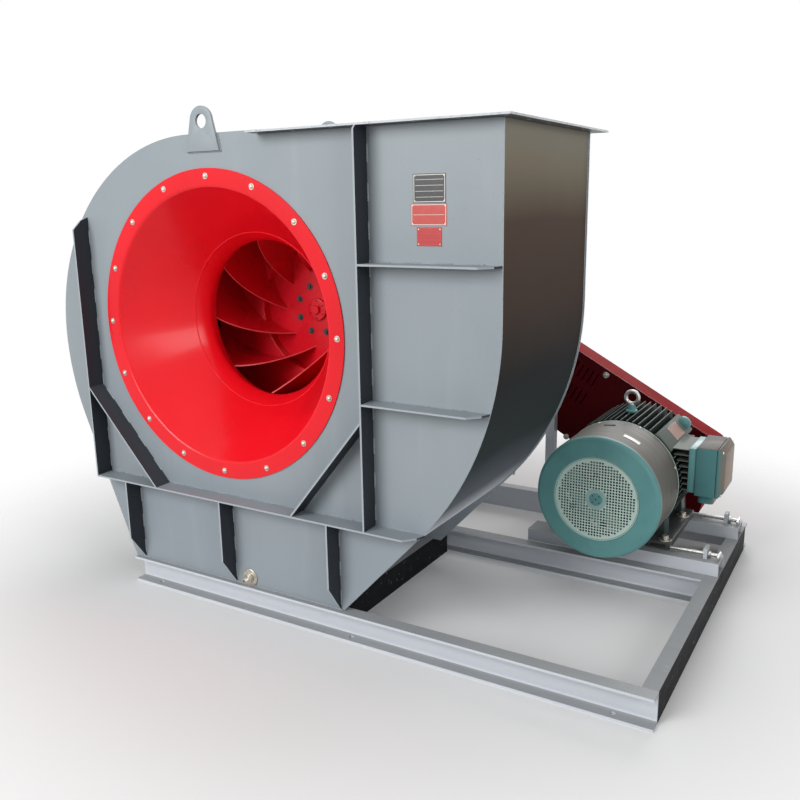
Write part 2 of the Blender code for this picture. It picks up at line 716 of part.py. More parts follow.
def diagonal_outline(wall_x, wall_z, floor_x, floor_z):
    """Mitred bar from a point on a standing bar down to a point on the long level bar."""
    run = Vector((floor_x - wall_x, floor_z - wall_z)).normalized()
    across = Vector((-run.y, run.x)) * RIB_WALL / 2
    points = []
    for sign in (1, -1):
        start = Vector((wall_x, wall_z)) + across * sign
        to_wall = (wall_x - start.x) / run.x
        to_floor = (floor_z - start.y) / run.y
        points.append((start + run * to_wall, start + run * to_floor))
    (a, b), (c, d) = points
    return [tuple(a), tuple(b), tuple(d), tuple(c)]


def scroll_edge_x(z):
    """The right edge of the side plates at a height below the arc's centre, or on the straight above it."""
    centre, radius = SCROLL_CENTRES[3], SCROLL_RADII[3]
    if z >= centre[1]:
        return SCROLL_RIGHT
    return centre[0] + math.sqrt(radius**2 - (z - centre[1]) ** 2)


def add_rib_cross(name, face_y, side, axis):
    """The long level bar with the three leg bars that hang from it, welded into one."""
    half = RIB_WALL / 2
    left = RIB_LEFT_X - half
    long_bar = level_bar(left, RIB_LONG_RIGHT_X, RIB_LONG_Z, face_y, side)
    taper(long_bar, (RIB_LONG_RIGHT_X, RIB_LONG_Z), (1, 0), face_y, side)
    cross = add(name, long_bar, RIB_GREY, axis)
    for index, x in enumerate(LEG_RIBS_X, 1):
        leg = vertical_bar(x, FOOT_Z + GAP, RIB_LONG_Z, face_y, side)
        trim(leg, (x, face_y, FOOT_Z), (0, side * LEG_RIB_TAPER / RIB_DEPTH, -1))
        weld(cross, tool(f"{name}_leg_{index}", leg, axis))


def build_front_ribs(axis):
    face, side, half = RIB_FRONT_FACE_Y, -1, RIB_WALL / 2
    add_rib_cross("front_long_rib", face, side, axis)
    shelf = RIB_LONG_Z + half + GAP
    left = vertical_bar(RIB_LEFT_X, shelf, RIB_LEFT_TOP_Z, face, side)
    taper(left, (RIB_LEFT_X, RIB_LEFT_TOP_Z), (0, 1), face, side)
    add("front_left_rib", left, RIB_GREY, axis)
    right = vertical_bar(RIB_RIGHT_X, shelf, FLANGE_UNDERSIDE - GAP, face, side)
    trim(right, (RIB_RIGHT_X, FLANGE_FRONT_Y, FLANGE_UNDERSIDE), (0, side, 1))
    add("front_right_rib", right, RIB_GREY, axis)
    for name, z in (("front_upper_rib", RIB_UPPER_Z), ("front_lower_rib", RIB_LOWER_Z)):
        end = scroll_edge_x(z - half)
        short = level_bar(RIB_RIGHT_X + half + GAP, end, z, face, side)
        taper(short, (end, z), (1, 0), face, side)
        add(name, short, RIB_GREY, axis)
    left_face, right_face = RIB_LEFT_X + half + GAP, RIB_RIGHT_X - half - GAP
    left_brace = diagonal_outline(left_face, DIAGONAL_LEFT[0], DIAGONAL_LEFT[1], shelf)
    right_brace = diagonal_outline(right_face, DIAGONAL_RIGHT[0], DIAGONAL_RIGHT[1], shelf)
    add("front_left_brace", bar(left_brace, face, side), RIB_GREY, axis)
    add("front_right_brace", bar(right_brace, face, side), RIB_GREY, axis)


def build_rear_ribs(axis):
    face, side, half = RIB_REAR_FACE_Y, 1, RIB_WALL / 2
    add_rib_cross("rear_long_rib", face, side, axis)
    shelf = RIB_LONG_Z + half + GAP
    left = vertical_bar(RIB_LEFT_X, shelf, RIB_LEFT_TOP_Z, face, side)
    taper(left, (RIB_LEFT_X, RIB_LEFT_TOP_Z), (0, 1), face, side)
    add("rear_left_rib", left, RIB_GREY, axis)
    right = vertical_bar(RIB_RIGHT_X, shelf, FLANGE_UNDERSIDE - GAP, face, side)
    trim(right, (RIB_RIGHT_X, FLANGE_REAR_Y, FLANGE_UNDERSIDE), (0, side, 1))
    add("rear_right_rib", right, RIB_GREY, axis)


def lug_outline():
    half = LUG_WIDTH / 2
    foot = (half, LUG_BASE_Z)
    centre = (0, LUG_HOLE_Z)
    touch = tangent_angle(centre, LUG_HEAD_RADIUS, foot, 1)
    return [(-half, LUG_BASE_Z), foot, *arc(centre, LUG_HEAD_RADIUS, touch, 180 - touch, 10)]


def build_lugs(axis):
    sides = (
        ("front_lifting_lug", CASING_FRONT_Y - GAP - LUG_WALL, CASING_FRONT_Y - GAP),
        ("rear_lifting_lug", CASING_REAR_Y + GAP, CASING_REAR_Y + GAP + LUG_WALL),
    )
    for name, low, high in sides:
        lug = add(name, prism(lug_outline(), "Y", low, high), CASING_GREY, axis)
        eye = cylinder(LUG_HOLE_RADIUS, (0, low, LUG_HOLE_Z), "Y", LUG_WALL * 4, 16)
        cut(lug, tool(f"{name}_eye", eye, axis))


def build_drain(axis):
    back = CASING_FRONT_Y - GAP
    step = back - DRAIN_HEXAGON_LENGTH
    tip = back - DRAIN_LENGTH
    floor = tip + DRAIN_BORE_DEPTH
    profile = [
        (0, back), (DRAIN_HEXAGON, back), (DRAIN_HEXAGON, step), (DRAIN_NIPPLE, step),
        (DRAIN_NIPPLE, tip), (DRAIN_BORE, tip), (DRAIN_BORE, floor), (0, floor),
    ]
    bm = turned(profile, 6, closed=False)
    bmesh.ops.translate(bm, verts=bm.verts, vec=(DRAIN_X, 0, DRAIN_Z))
    add("drain_plug", bm, BRIGHT_STEEL, axis)


# Fan rotor: shaft, hub, wheel with backward-curved blades, and the driven pulley


def shroud_curve():
    """Flow side of the shroud as (radius, y): neck, bend and cone."""
    bend_y = SHROUD_EYE_Y + SHROUD_NECK
    centre = (SHROUD_EYE_RADIUS + SHROUD_BEND_RADIUS, bend_y)
    bend = arc(centre, SHROUD_BEND_RADIUS, 180, 180 - SHROUD_CURVE_END, 3)
    last_radius, last_y = bend[-1]
    rise = (WHEEL_RADIUS - last_radius) * math.tan(math.radians(SHROUD_CONE_ANGLE))
    return [(SHROUD_EYE_RADIUS, SHROUD_EYE_Y), *bend, (WHEEL_RADIUS, last_y + rise)]


def shroud_outline():
    inside = shroud_curve()
    centre_line = []
    for index, (radius, y) in enumerate(inside):
        before, after = inside[max(index - 1, 0)], inside[min(index + 1, len(inside) - 1)]
        run = Vector((after[0] - before[0], after[1] - before[1])).normalized()
        centre_line.append((radius + run.y * SHROUD_WALL, y - run.x * SHROUD_WALL))
    return inside + centre_line[::-1]


def blade_path():
    """Blade seen along the axis: a spiral that leans back as it goes out."""
    points = []
    reach = WHEEL_RADIUS - BLADE_WALL / 2 - BLADE_INNER_RADIUS
    for step in range(BLADE_STEPS + 1):
        radius = BLADE_INNER_RADIUS + reach * step / BLADE_STEPS
        angle = -BLADE_SPIRAL * math.log(radius / BLADE_INNER_RADIUS)
        points.append((radius * math.cos(angle), radius * math.sin(angle)))
    return points


def blade_row(front):
    """All blades as straight-sided sheets, a little into the backplate."""
    bm = bmesh.new()
    outline = ribbon(blade_path(), BLADE_WALL)
    for index in range(BLADE_COUNT):
        before = len(bm.verts)
        extrude_outline(bm, outline, "Y", front, BACKPLATE_Y + BACKPLATE_WALL / 2)
        bm.verts.ensure_lookup_table()
        turn = Matrix.Rotation(-math.radians(BLADE_START_ANGLE + 360 * index / BLADE_COUNT), 3, "Y")
        bmesh.ops.rotate(bm, verts=bm.verts[before:], cent=(0, 0, 0), matrix=turn)
    return bm


def blade_trimmer(front):
    """Turned shape that slants the blades' inlet edges and fits them under the shroud."""
    curve = [(radius, y + GAP) for radius, y in shroud_curve() if y > BLADE_EYE_Y]
    low, foot = front - BLADE_WALL, BACKPLATE_Y - BLADE_WALL / 2
    beyond = WHEEL_RADIUS + BLADE_WALL * 2
    profile = [
        (0, foot), *blade_edge(foot), *curve, (beyond, curve[-1][1] + GAP), (beyond, low), (0, low),
    ]
    return turned(profile, ROUND, closed=False)


def blade_edge(foot):
    """Inlet edge of a blade as (radius, y), from the backplate out to the eye of the shroud."""
    ends = Vector((BLADE_INNER_RADIUS, foot)), Vector((SHROUD_EYE_RADIUS, BLADE_EYE_Y))
    bend = Vector(BLADE_EDGE_BEND)
    points = []
    for step in range(BLADE_EDGE_STEPS + 1):
        share = step / BLADE_EDGE_STEPS
        start, end = ends[0].lerp(bend, share), bend.lerp(ends[1], share)
        points.append(tuple(start.lerp(end, share)))
    return points


def build_wheel(rotor):
    hole = SHAFT_NECK_RADIUS + GAP
    backplate = [
        (hole, BACKPLATE_Y), (WHEEL_RADIUS, BACKPLATE_Y),
        (WHEEL_RADIUS, BACKPLATE_Y + BACKPLATE_WALL), (hole, BACKPLATE_Y + BACKPLATE_WALL),
    ]
    wheel = add("impeller_backplate", turned(backplate), FAN_RED, rotor)
    weld(wheel, tool("blade_sheets", blade_row(SHROUD_EYE_Y), rotor))
    cut(wheel, tool("blade_trimmer", blade_trimmer(SHROUD_EYE_Y), rotor))
    add("impeller_shroud", turned(shroud_outline()), FAN_RED, rotor, smooth=True)
    hub_front = BACKPLATE_Y + BACKPLATE_WALL + GAP
    step = hub_front + HUB_FLANGE_WALL
    end = hub_front + HUB_LENGTH
    hub = [
        (hole, hub_front), (HUB_FLANGE_RADIUS, hub_front), (HUB_FLANGE_RADIUS, step),
        (HUB_BARREL_RADIUS + HUB_FILLET_RADIUS, step + HUB_FILLET_LENGTH),
        (HUB_BARREL_RADIUS, end), (hole, end),
    ]
    add("impeller_hub", turned(hub, SMALL_ROUND), CAST_IRON, rotor, smooth=True)
    nose_back = BACKPLATE_Y - GAP
    nose_front = nose_back - NOSE_WALL
    nut_front = nose_front - NOSE_NUT_LENGTH
    cap = [
        (0, SHAFT_FRONT_Y - RUNNING_GAP), (hole, SHAFT_FRONT_Y - RUNNING_GAP),
        (hole, nose_back), (NOSE_RADIUS, nose_back), (NOSE_RADIUS, nose_front),
        (NOSE_NUT_RADIUS, nose_front), (NOSE_NUT_RADIUS, nut_front), (0, nut_front),
    ]
    add("hub_nose_cap", turned(cap, SMALL_ROUND, closed=False), FAN_RED, rotor, smooth=True)


def build_fan_shaft(rotor):
    shoulder = BACKPLATE_Y + BACKPLATE_WALL + GAP + HUB_LENGTH + GAP
    pulley_half = pulley_width() / 2
    neck = PULLEY_CENTRE_Y - pulley_half - GAP
    end = PULLEY_CENTRE_Y + pulley_half
    profile = [
        (0, SHAFT_FRONT_Y), (SHAFT_NECK_RADIUS, SHAFT_FRONT_Y), (SHAFT_NECK_RADIUS, shoulder),
        (SHAFT_RADIUS, shoulder), (SHAFT_RADIUS, neck), (SHAFT_NECK_RADIUS, neck),
        (SHAFT_NECK_RADIUS, end), (0, end),
    ]
    add("fan_shaft", turned(profile, SMALL_ROUND, closed=False), BRIGHT_STEEL, rotor, smooth=True)


def pulley_width():
    return GROOVE_PITCH * (PULLEY_GROOVES - 1) + GROOVE_EDGE * 2


def groove_centres():
    first = PULLEY_CENTRE_Y - GROOVE_PITCH * (PULLEY_GROOVES - 1) / 2
    return [first + GROOVE_PITCH * index for index in range(PULLEY_GROOVES)]


def pulley(name, radius, bore, parent):
    half = pulley_width() / 2
    low, high = PULLEY_CENTRE_Y - half, PULLEY_CENTRE_Y + half
    root = radius - GROOVE_DEPTH
    hub, rim, step = bore + PULLEY_HUB, root - PULLEY_RIM, low + PULLEY_RECESS
    profile = [(bore, low), (hub, low), (hub, step), (rim, step), (rim, low), (radius, low)]
    for y in groove_centres():
        profile += [(radius, y - GROOVE_TOP), (root, y - GROOVE_BOTTOM)]
        profile += [(root, y + GROOVE_BOTTOM), (radius, y + GROOVE_TOP)]
    profile += [(radius, high), (bore, high)]
    add(name, turned(profile, SMALL_ROUND), CAST_IRON, parent, smooth=True)


# Bearings and their pedestal


def build_pedestal(axis):
    top = -HOUSING_CENTRE_HEIGHT - GAP
    foot = FOOT_Z
    middle_y = (PEDESTAL_FRONT_Y + PEDESTAL_REAR_Y) / 2
    length = PEDESTAL_REAR_Y - PEDESTAL_FRONT_Y
    half_top, half_bottom = PEDESTAL_TOP_WIDTH / 2, PEDESTAL_BOTTOM_WIDTH / 2
    flank = [(-half_bottom, foot), (half_bottom, foot), (half_top, top), (-half_top, top)]
    stand = add("bearing_pedestal", prism(flank, "Y", PEDESTAL_FRONT_Y, PEDESTAL_REAR_Y), BASE_GREY, axis)
    half_foot = PEDESTAL_FOOT_WIDTH / 2
    sole_front, sole_rear = MIDDLE_BEAM_Y + PEDESTAL_FOOT_INSET, BASE_DEPTH - PEDESTAL_FOOT_INSET
    sole = rectangle(-half_foot, sole_front, half_foot, sole_rear)
    weld(stand, tool("pedestal_sole", prism(sole, "Z", foot, foot + PEDESTAL_PLATE), axis))
    wall = PEDESTAL_WALL
    room = [
        (-half_bottom + wall, foot - wall), (half_bottom - wall, foot - wall),
        (half_top - wall, top - PEDESTAL_PLATE), (-half_top + wall, top - PEDESTAL_PLATE),
    ]
    hollow = prism(room, "Y", PEDESTAL_FRONT_Y + wall, PEDESTAL_REAR_Y - wall)
    cut(stand, tool("pedestal_room", hollow, axis))
    half_window = length * PEDESTAL_WINDOW_SHARE / 2
    window_low, window_high = foot + PEDESTAL_WINDOW_MARGIN, top - PEDESTAL_WINDOW_MARGIN
    window = rectangle(middle_y - half_window, window_low, middle_y + half_window, window_high)
    cut(stand, tool("pedestal_side_window", prism(window, "X", -half_foot, half_foot), axis))


def housing_bore(start, end):
    return arc((0, 0), BEARING_OUTER_RADIUS + GAP, start, end, 12)


def build_bearing(name, y, axis):
    low, high = y - HOUSING_WIDTH / 2, y + HOUSING_WIDTH / 2
    foot, split = HOUSING_FOOT_LENGTH / 2, GAP / 2
    bottom = -HOUSING_CENTRE_HEIGHT
    shoulder = bottom + HOUSING_FOOT_WALL
    rise = shoulder + HOUSING_SHOULDER_RISE
    dome, lug, lug_top = HOUSING_DOME_RADIUS, HOUSING_CAP_LUG, HOUSING_CAP_LUG_WALL
    base = [(-foot, bottom), (foot, bottom), (foot, shoulder), (lug, rise), (lug, -split)]
    base += [(x, min(z, -split)) for x, z in housing_bore(0, -180)]
    base += [(-lug, -split), (-lug, rise), (-foot, shoulder)]
    add(f"{name}_base", prism(base, "Y", low, high), CAST_IRON, axis)
    start = math.degrees(math.asin(lug_top / dome))
    crown = arc((0, 0), dome, start, 180 - start, 14)
    cap = [(lug, split), (lug, lug_top), *crown, (-lug, lug_top), (-lug, split)]
    cap += [(x, max(z, split)) for x, z in housing_bore(180, 0)]
    add(f"{name}_cap", prism(cap, "Y", low, high), CAST_IRON, axis)
    inner, outer = SHAFT_RADIUS + RUNNING_GAP, BEARING_OUTER_RADIUS - GAP
    ring = rectangle(inner, low + INSERT_INSET, outer, high - INSERT_INSET)
    add(f"{name}_insert", turned(ring, SMALL_ROUND), BRIGHT_STEEL, axis, smooth=True)


# Belts and guard. The drive lies between the fan axis and the motor axis.


def drive_outline(fan_radius, motor_radius):
    """The outline of a tight loop round two circles, as (x, z) from the fan axis, counter-clockwise."""
    reach = Vector((MOTOR_X, MOTOR_Z - AXIS_HEIGHT))
    along = math.degrees(math.atan2(reach.y, reach.x))
    lean = math.degrees(math.asin((motor_radius - fan_radius) / reach.length))
    top, bottom = along + 90 + lean, along - 90 - lean
    fan_side = arc((0, 0), fan_radius, top, bottom + 360, BELT_ARC_STEPS)
    motor_side = arc(tuple(reach), motor_radius, bottom, top, BELT_ARC_STEPS)
    return fan_side + motor_side


def build_belts(axis):
    lean = (GROOVE_TOP - GROOVE_BOTTOM) / GROOVE_DEPTH
    top = GROOVE_TOP - BELT_SIDE_GAP
    bottom = top - lean * BELT_DEPTH
    loops = ((0.0, -top), (0.0, top), (BELT_DEPTH, bottom), (BELT_DEPTH, -bottom))
    for index, y in enumerate(groove_centres(), 1):
        bm = bmesh.new()
        rings = []
        for depth, offset in loops:
            path = drive_outline(DRIVEN_PULLEY_RADIUS - depth, DRIVE_PULLEY_RADIUS - depth)
            verts = [bm.verts.new((x, y + offset, z)) for x, z in path]
            rings.append([bm.edges.new((a, b)) for a, b in zip(verts, verts[1:] + verts[:1])])
        for ring, following in zip(rings, rings[1:] + rings[:1]):
            bmesh.ops.bridge_loops(bm, edges=ring + following)
        add(f"v_belt_{index}", bm, BELT_RUBBER, axis)


def guard_frame():
    """Unit vectors along and across the guard, which leans a little from the line between the shafts."""
    slope = math.atan2(MOTOR_Z - AXIS_HEIGHT, MOTOR_X) + math.radians(GUARD_LEAN)
    return Vector((math.cos(slope), math.sin(slope))), Vector((-math.sin(slope), math.cos(slope)))


def guard_corners():
    """Corners of the guard as (x, z) from the fan axis, counter-clockwise from the lower fan end."""
    along, across = guard_frame()
    reach = math.hypot(MOTOR_X, MOTOR_Z - AXIS_HEIGHT)
    ends = (
        (-GUARD_FAN_END, -GUARD_BELOW), (reach + GUARD_MOTOR_END_BOTTOM, -GUARD_BELOW),
        (reach + GUARD_MOTOR_END_TOP, GUARD_ABOVE), (-GUARD_FAN_END, GUARD_ABOVE),
    )
    return [along * length + across * height for length, height in ends]


def guard_outline(inset):
    """The guard's side view with rounded corners, moved inwards by the inset."""
    corners = guard_corners()
    outline = []
    for index, corner in enumerate(corners):
        into = (corner - corners[index - 1]).normalized()
        out = (corners[(index + 1) % len(corners)] - corner).normalized()
        half_turn = into.angle(out) / 2
        middle = (out - into).normalized()
        radius = GUARD_CORNER_RADII[index]
        centre = corner + middle * radius / math.cos(half_turn)
        start = math.degrees(math.atan2(-into.x, into.y))
        outline += arc(centre, radius - inset, start, start + math.degrees(half_turn) * 2, GUARD_ARC_STEPS)
    return outline


def build_guard(axis, unit):
    cover_front = GUARD_FRONT_Y + GUARD_WALL + GAP
    shell = prism(guard_outline(0), "Y", cover_front, GUARD_REAR_Y)
    cover = add("belt_guard_cover", shell, GUARD_RED, axis)
    room = prism(guard_outline(GUARD_WALL), "Y", cover_front - GUARD_WALL, GUARD_REAR_Y - GUARD_WALL)
    cut(cover, tool("guard_room", room, axis))
    sheet = prism(guard_outline(0), "Y", GUARD_FRONT_Y, GUARD_FRONT_Y + GUARD_WALL)
    panel = add("belt_guard_panel", sheet, GUARD_RED, axis)
    openings = bmesh.new()
    motor_centre = (MOTOR_X, GUARD_FRONT_Y, MOTOR_Z - AXIS_HEIGHT)
    for radius, centre in ((GUARD_SHAFT_HOLE, (0, GUARD_FRONT_Y, 0)), (GUARD_MOTOR_HOLE, motor_centre)):
        add_cylinder(openings, radius, centre, "Y", GUARD_WALL * 6, SMALL_ROUND)
    cut(panel, tool("guard_shaft_openings", openings, axis))
    cut(panel, tool("guard_louvre_slots", louvre_slots(), axis))
    build_guard_post(unit)


def louvre_slots():
    """Rows of slots that stand across the guard, beside the motor."""
    along, across = guard_frame()
    turn = Matrix.Rotation(-math.atan2(along.y, along.x), 3, "Y")
    half_length, half_height = LOUVRE_LENGTH / 2, LOUVRE_HEIGHT / 2
    slot = rectangle(-half_height, -half_length, half_height, half_length)
    bm = bmesh.new()
    for row in range(LOUVRE_ROWS):
        for index in range(LOUVRES_IN_ROW):
            before = len(bm.verts)
            extrude_outline(bm, slot, "Y", GUARD_FRONT_Y - GUARD_WALL, GUARD_FRONT_Y + GUARD_WALL * 2)
            bm.verts.ensure_lookup_table()
            verts = bm.verts[before:]
            length = LOUVRE_CENTRE[0] + (index - (LOUVRES_IN_ROW - 1) / 2) * LOUVRE_PITCH
            height = LOUVRE_CENTRE[1] + (row - (LOUVRE_ROWS - 1) / 2) * LOUVRE_ROW_PITCH
            centre = along * length + across * height
            bmesh.ops.rotate(bm, verts=verts, cent=(0, 0, 0), matrix=turn)
            bmesh.ops.translate(bm, verts=verts, vec=(centre.x, 0, centre.y))
    return bm


def guard_underside(x):
    """Height above the floor of the guard's lower straight side at x."""
    low, high = guard_corners()[:2]
    return AXIS_HEIGHT + low.y + (high.y - low.y) * (x - low.x) / (high.x - low.x)


def build_guard_post(unit):
    """Upright on the rear channel, in front of the guard panel."""
    left, right = GUARD_POST_X, GUARD_POST_X + GUARD_POST_WIDTH
    top = guard_underside(left) + GUARD_POST_LAP
    rear = GUARD_FRONT_Y - GAP
    post = prism(rectangle(left, BASE_TOP + GAP, right, top), "Y", rear - GUARD_POST_WIDTH, rear)
    add("guard_post", post, BASE_GREY, unit)


# Motor. Outlines are (x, z) from the motor axis.


def finned_outline():
    """Cast frame with straight fins: upright above and below, level on both sides."""
    outline = []
    half = MOTOR_FIN_WALL / 2
    belly = MOTOR_SHAFT_HEIGHT - MOTOR_BELLY_CLEARANCE
    for quarter, tip in enumerate((MOTOR_FIN_RADIUS, MOTOR_FIN_RADIUS, belly, MOTOR_FIN_RADIUS)):
        cosine, sine = math.cos(math.radians(90 * quarter)), math.sin(math.radians(90 * quarter))
        for index in range(MOTOR_FINS):
            across = ((MOTOR_FINS - 1) / 2 - index) * MOTOR_FIN_PITCH
            for x, radius in (
                (across + half, MOTOR_CORE_RADIUS), (across + half, tip),
                (across - half, tip), (across - half, MOTOR_CORE_RADIUS),
            ):
                z = math.sqrt(radius**2 - x**2)
                outline.append((x * cosine - z * sine, x * sine + z * cosine))
    return outline


def foot_outline(side):
    """Foot with the packing plate under it."""
    low, high = GAP - MOTOR_RISE, MOTOR_FOOT_WALL - MOTOR_SHAFT_HEIGHT
    foot = rectangle(MOTOR_FOOT_INNER, low, MOTOR_FOOT_REACH, high)
    return [(side * x, z) for x, z in foot]


def leg_outline(side):
    inner, outer = MOTOR_LEG_FOOT_INSETS
    low = MOTOR_FOOT_WALL / 2 - MOTOR_SHAFT_HEIGHT
    foot = [(MOTOR_FOOT_INNER + inner, low), (MOTOR_FOOT_REACH - outer, low)]
    return [(side * x, z) for x, z in (*foot, *MOTOR_LEG_TOP)]


def pad_outline():
    """Flat boss along the upper right of the frame, which carries the rating plate."""
    turn = math.radians(MOTOR_PAD_ANGLE)
    half, low = MOTOR_PAD_WIDTH / 2, (MOTOR_BORE_RADIUS + MOTOR_CORE_RADIUS) / 2
    corners = rectangle(low, -half, MOTOR_PAD_RADIUS, half)
    cosine, sine = math.cos(turn), math.sin(turn)
    return [(out * cosine - side * sine, out * sine + side * cosine) for out, side in corners]


def build_motor_frame(motor):
    frame = prism(finned_outline(), "Y", MOTOR_FRAME_FRONT_Y, MOTOR_FRAME_REAR_Y)
    piece = add("motor_frame", frame, MOTOR_TEAL, motor)
    front, rear = MOTOR_FRAME_FRONT_Y + MOTOR_LEG_INSET, MOTOR_FRAME_REAR_Y - MOTOR_LEG_INSET
    for side, word in ((-1, "left"), (1, "right")):
        foot = prism(foot_outline(side), "Y", MOTOR_FOOT_FRONT_Y, MOTOR_FOOT_REAR_Y)
        legs = bmesh.new()
        for low in (front, rear - MOTOR_LEG_LENGTH):
            extrude_outline(legs, leg_outline(side), "Y", low, low + MOTOR_LEG_LENGTH)
        weld(piece, tool(f"motor_foot_{word}", foot, motor), tool(f"motor_legs_{word}", legs, motor))
    weld(piece, tool("rating_plate_pad", prism(pad_outline(), "Y", front, rear), motor))
    inset = BOX_SADDLE_INSET
    saddle = rectangle(BOX_FRONT_Y + inset, BOX_BOTTOM_Z + inset, BOX_REAR_Y - inset, BOX_TOP_Z - inset)
    seat = prism(saddle, "X", (MOTOR_BORE_RADIUS + MOTOR_CORE_RADIUS) / 2, BOX_LEFT_X - GAP)
    weld(piece, tool("terminal_box_saddle", seat, motor))
    length = MOTOR_FRAME_REAR_Y - MOTOR_FRAME_FRONT_Y
    middle = (MOTOR_FRAME_REAR_Y + MOTOR_FRAME_FRONT_Y) / 2
    bore = cylinder(MOTOR_BORE_RADIUS, (0, middle, 0), "Y", length * 1.1, SMALL_ROUND)
    cut(piece, tool("motor_bore", bore, motor))


def build_motor_shields(motor):
    bore = MOTOR_SHAFT_RADIUS + RUNNING_GAP
    core, waist, boss = (MOTOR_CORE_RADIUS * share for share in (1, SHIELD_WAIST_SHARE, SHIELD_BOSS_SHARE))
    front, rear = MOTOR_FRAME_REAR_Y + GAP, MOTOR_SHIELD_REAR_Y
    drive_end = [
        (bore, front), (core, front), (core, front + SHIELD_RIM), (waist, front + SHIELD_WAIST),
        (boss, rear - SHIELD_BOSS), (boss, rear), (bore, rear),
    ]
    add("drive_end_shield", turned(drive_end, SMALL_ROUND), MOTOR_TEAL, motor, smooth=True)
    rear = MOTOR_FRAME_FRONT_Y - GAP
    front = rear - MOTOR_FAN_SHIELD_LENGTH
    fan_end = [
        (bore, rear), (bore, front), (boss, front), (waist, front + SHIELD_BOSS), (core, rear - SHIELD_RIM),
        (core, rear),
    ]
    add("fan_end_shield", turned(fan_end, SMALL_ROUND), MOTOR_TEAL, motor, smooth=True)


def build_cowl(motor):
    middle = COWL_WALL / 2
    corner = (COWL_RADIUS - COWL_CORNER_RADIUS, COWL_FRONT_Y + COWL_FACE_RISE + COWL_CORNER_RADIUS)
    bend = arc(corner, COWL_CORNER_RADIUS - middle, 270, 360, 3)
    seat_y = COWL_FRONT_Y + GRILLE_RECESS + COWL_WALL + GAP + middle
    path = [
        (GRILLE_RADIUS - GRILLE_SEAT, seat_y), (GRILLE_RADIUS + COWL_WALL, seat_y),
        (GRILLE_RADIUS + COWL_WALL * 3, COWL_FRONT_Y + middle), *bend,
        (COWL_RADIUS - middle, MOTOR_FRAME_FRONT_Y - GAP),
    ]
    add("fan_cowl", turned(ribbon(path, COWL_WALL)), MOTOR_TEAL, motor, smooth=True)
    low = COWL_FRONT_Y + GRILLE_RECESS
    disc = cylinder(GRILLE_RADIUS - GAP * 2, (0, low + middle, 0), "Y", COWL_WALL, ROUND)
    grille = add("cowl_grille", disc, MOTOR_TEAL, motor)
    cut(grille, tool("grille_holes", grille_holes(low), motor))


def grille_holes(y):
    """Square holes on a square grid, with the middle left whole."""
    bm = bmesh.new()
    reach = GRILLE_RADIUS - GRILLE_HOLE
    count = int(reach / GRILLE_PITCH)
    half = GRILLE_HOLE / 2
    for column in range(-count, count + 1):
        for row in range(-count, count + 1):
            x, z = column * GRILLE_PITCH, row * GRILLE_PITCH
            if GRILLE_PITCH / 2 < math.hypot(x, z) < reach:
                hole = rectangle(x - half, z - half, x + half, z + half)
                extrude_outline(bm, hole, "Y", y - COWL_WALL, y + COWL_WALL * 2)
    return bm


def build_terminal_box(motor):
    outline = rectangle(BOX_FRONT_Y, BOX_BOTTOM_Z, BOX_REAR_Y, BOX_TOP_Z)
    box = add("terminal_box", prism(outline, "X", BOX_LEFT_X, BOX_RIGHT_X), MOTOR_TEAL, motor)
    left, right = BOX_RIGHT_X + GAP, BOX_RIGHT_X + LID_WALL
    inside = rectangle(
        BOX_FRONT_Y + BOX_WALL, BOX_BOTTOM_Z + BOX_WALL, BOX_REAR_Y - BOX_WALL, BOX_TOP_Z - BOX_WALL,
    )
    room = prism(inside, "X", BOX_LEFT_X + BOX_WALL, BOX_RIGHT_X + BOX_WALL)
    gland = rectangle(
        BOX_LEFT_X + GLAND_INSET_X, BOX_FRONT_Y + GLAND_INSET_Y,
        BOX_RIGHT_X - GLAND_INSET_X, BOX_FRONT_Y + GLAND_INSET_Y + GLAND_LENGTH,
    )
    housing = prism(gland, "Z", BOX_BOTTOM_Z - GLAND_DEPTH, BOX_BOTTOM_Z + BOX_WALL / 2)
    weld(box, tool("gland_housing", housing, motor))
    cut(box, tool("terminal_box_room", room, motor))
    lid = bmesh.new()
    extrude_outline(lid, rectangle(BOX_FRONT_Y, BOX_BOTTOM_Z, BOX_REAR_Y, BOX_TOP_Z), "X", left, right)
    crown = [edge for edge in lid.edges if all(abs(vert.co.x - right) < 1e-6 for vert in edge.verts)]
    bmesh.ops.bevel(lid, geom=crown, offset=LID_BEVEL, segments=1, profile=0.5, affect="EDGES", material=-1)
    cover = add("terminal_box_lid", lid, MOTOR_TEAL, motor)
    hollow = rectangle(
        BOX_FRONT_Y + LID_BEVEL, BOX_BOTTOM_Z + LID_BEVEL, BOX_REAR_Y - LID_BEVEL, BOX_TOP_Z - LID_BEVEL,
    )
    cut(cover, tool("terminal_lid_room", prism(hollow, "X", left - BOX_WALL, right - BOX_WALL), motor))


def build_eyebolt(motor):
    """Lifting eye on the top fins: a ring over a collar."""
    seat = MOTOR_FIN_RADIUS + GAP
    ring_z = seat + EYE_COLLAR_HEIGHT + EYE_RADIUS
    collar = bmesh.new()
    bmesh.ops.create_cone(
        collar, cap_ends=True, segments=16, radius1=EYE_COLLAR_RADIUS, radius2=EYE_COLLAR_RADIUS * 0.55,
        depth=EYE_COLLAR_HEIGHT, matrix=Matrix.Translation((0, EYE_Y, seat + EYE_COLLAR_HEIGHT / 2)),
    )
    bolt = add("lifting_eyebolt", collar, MOTOR_TEAL, motor)
    ring = turned(arc((EYE_RADIUS, 0), EYE_BAR_RADIUS, 0, 300, 5), SMALL_ROUND)
    bmesh.ops.translate(ring, verts=ring.verts, vec=(0, EYE_Y, ring_z))
    weld(bolt, tool("eyebolt_ring", ring, motor))


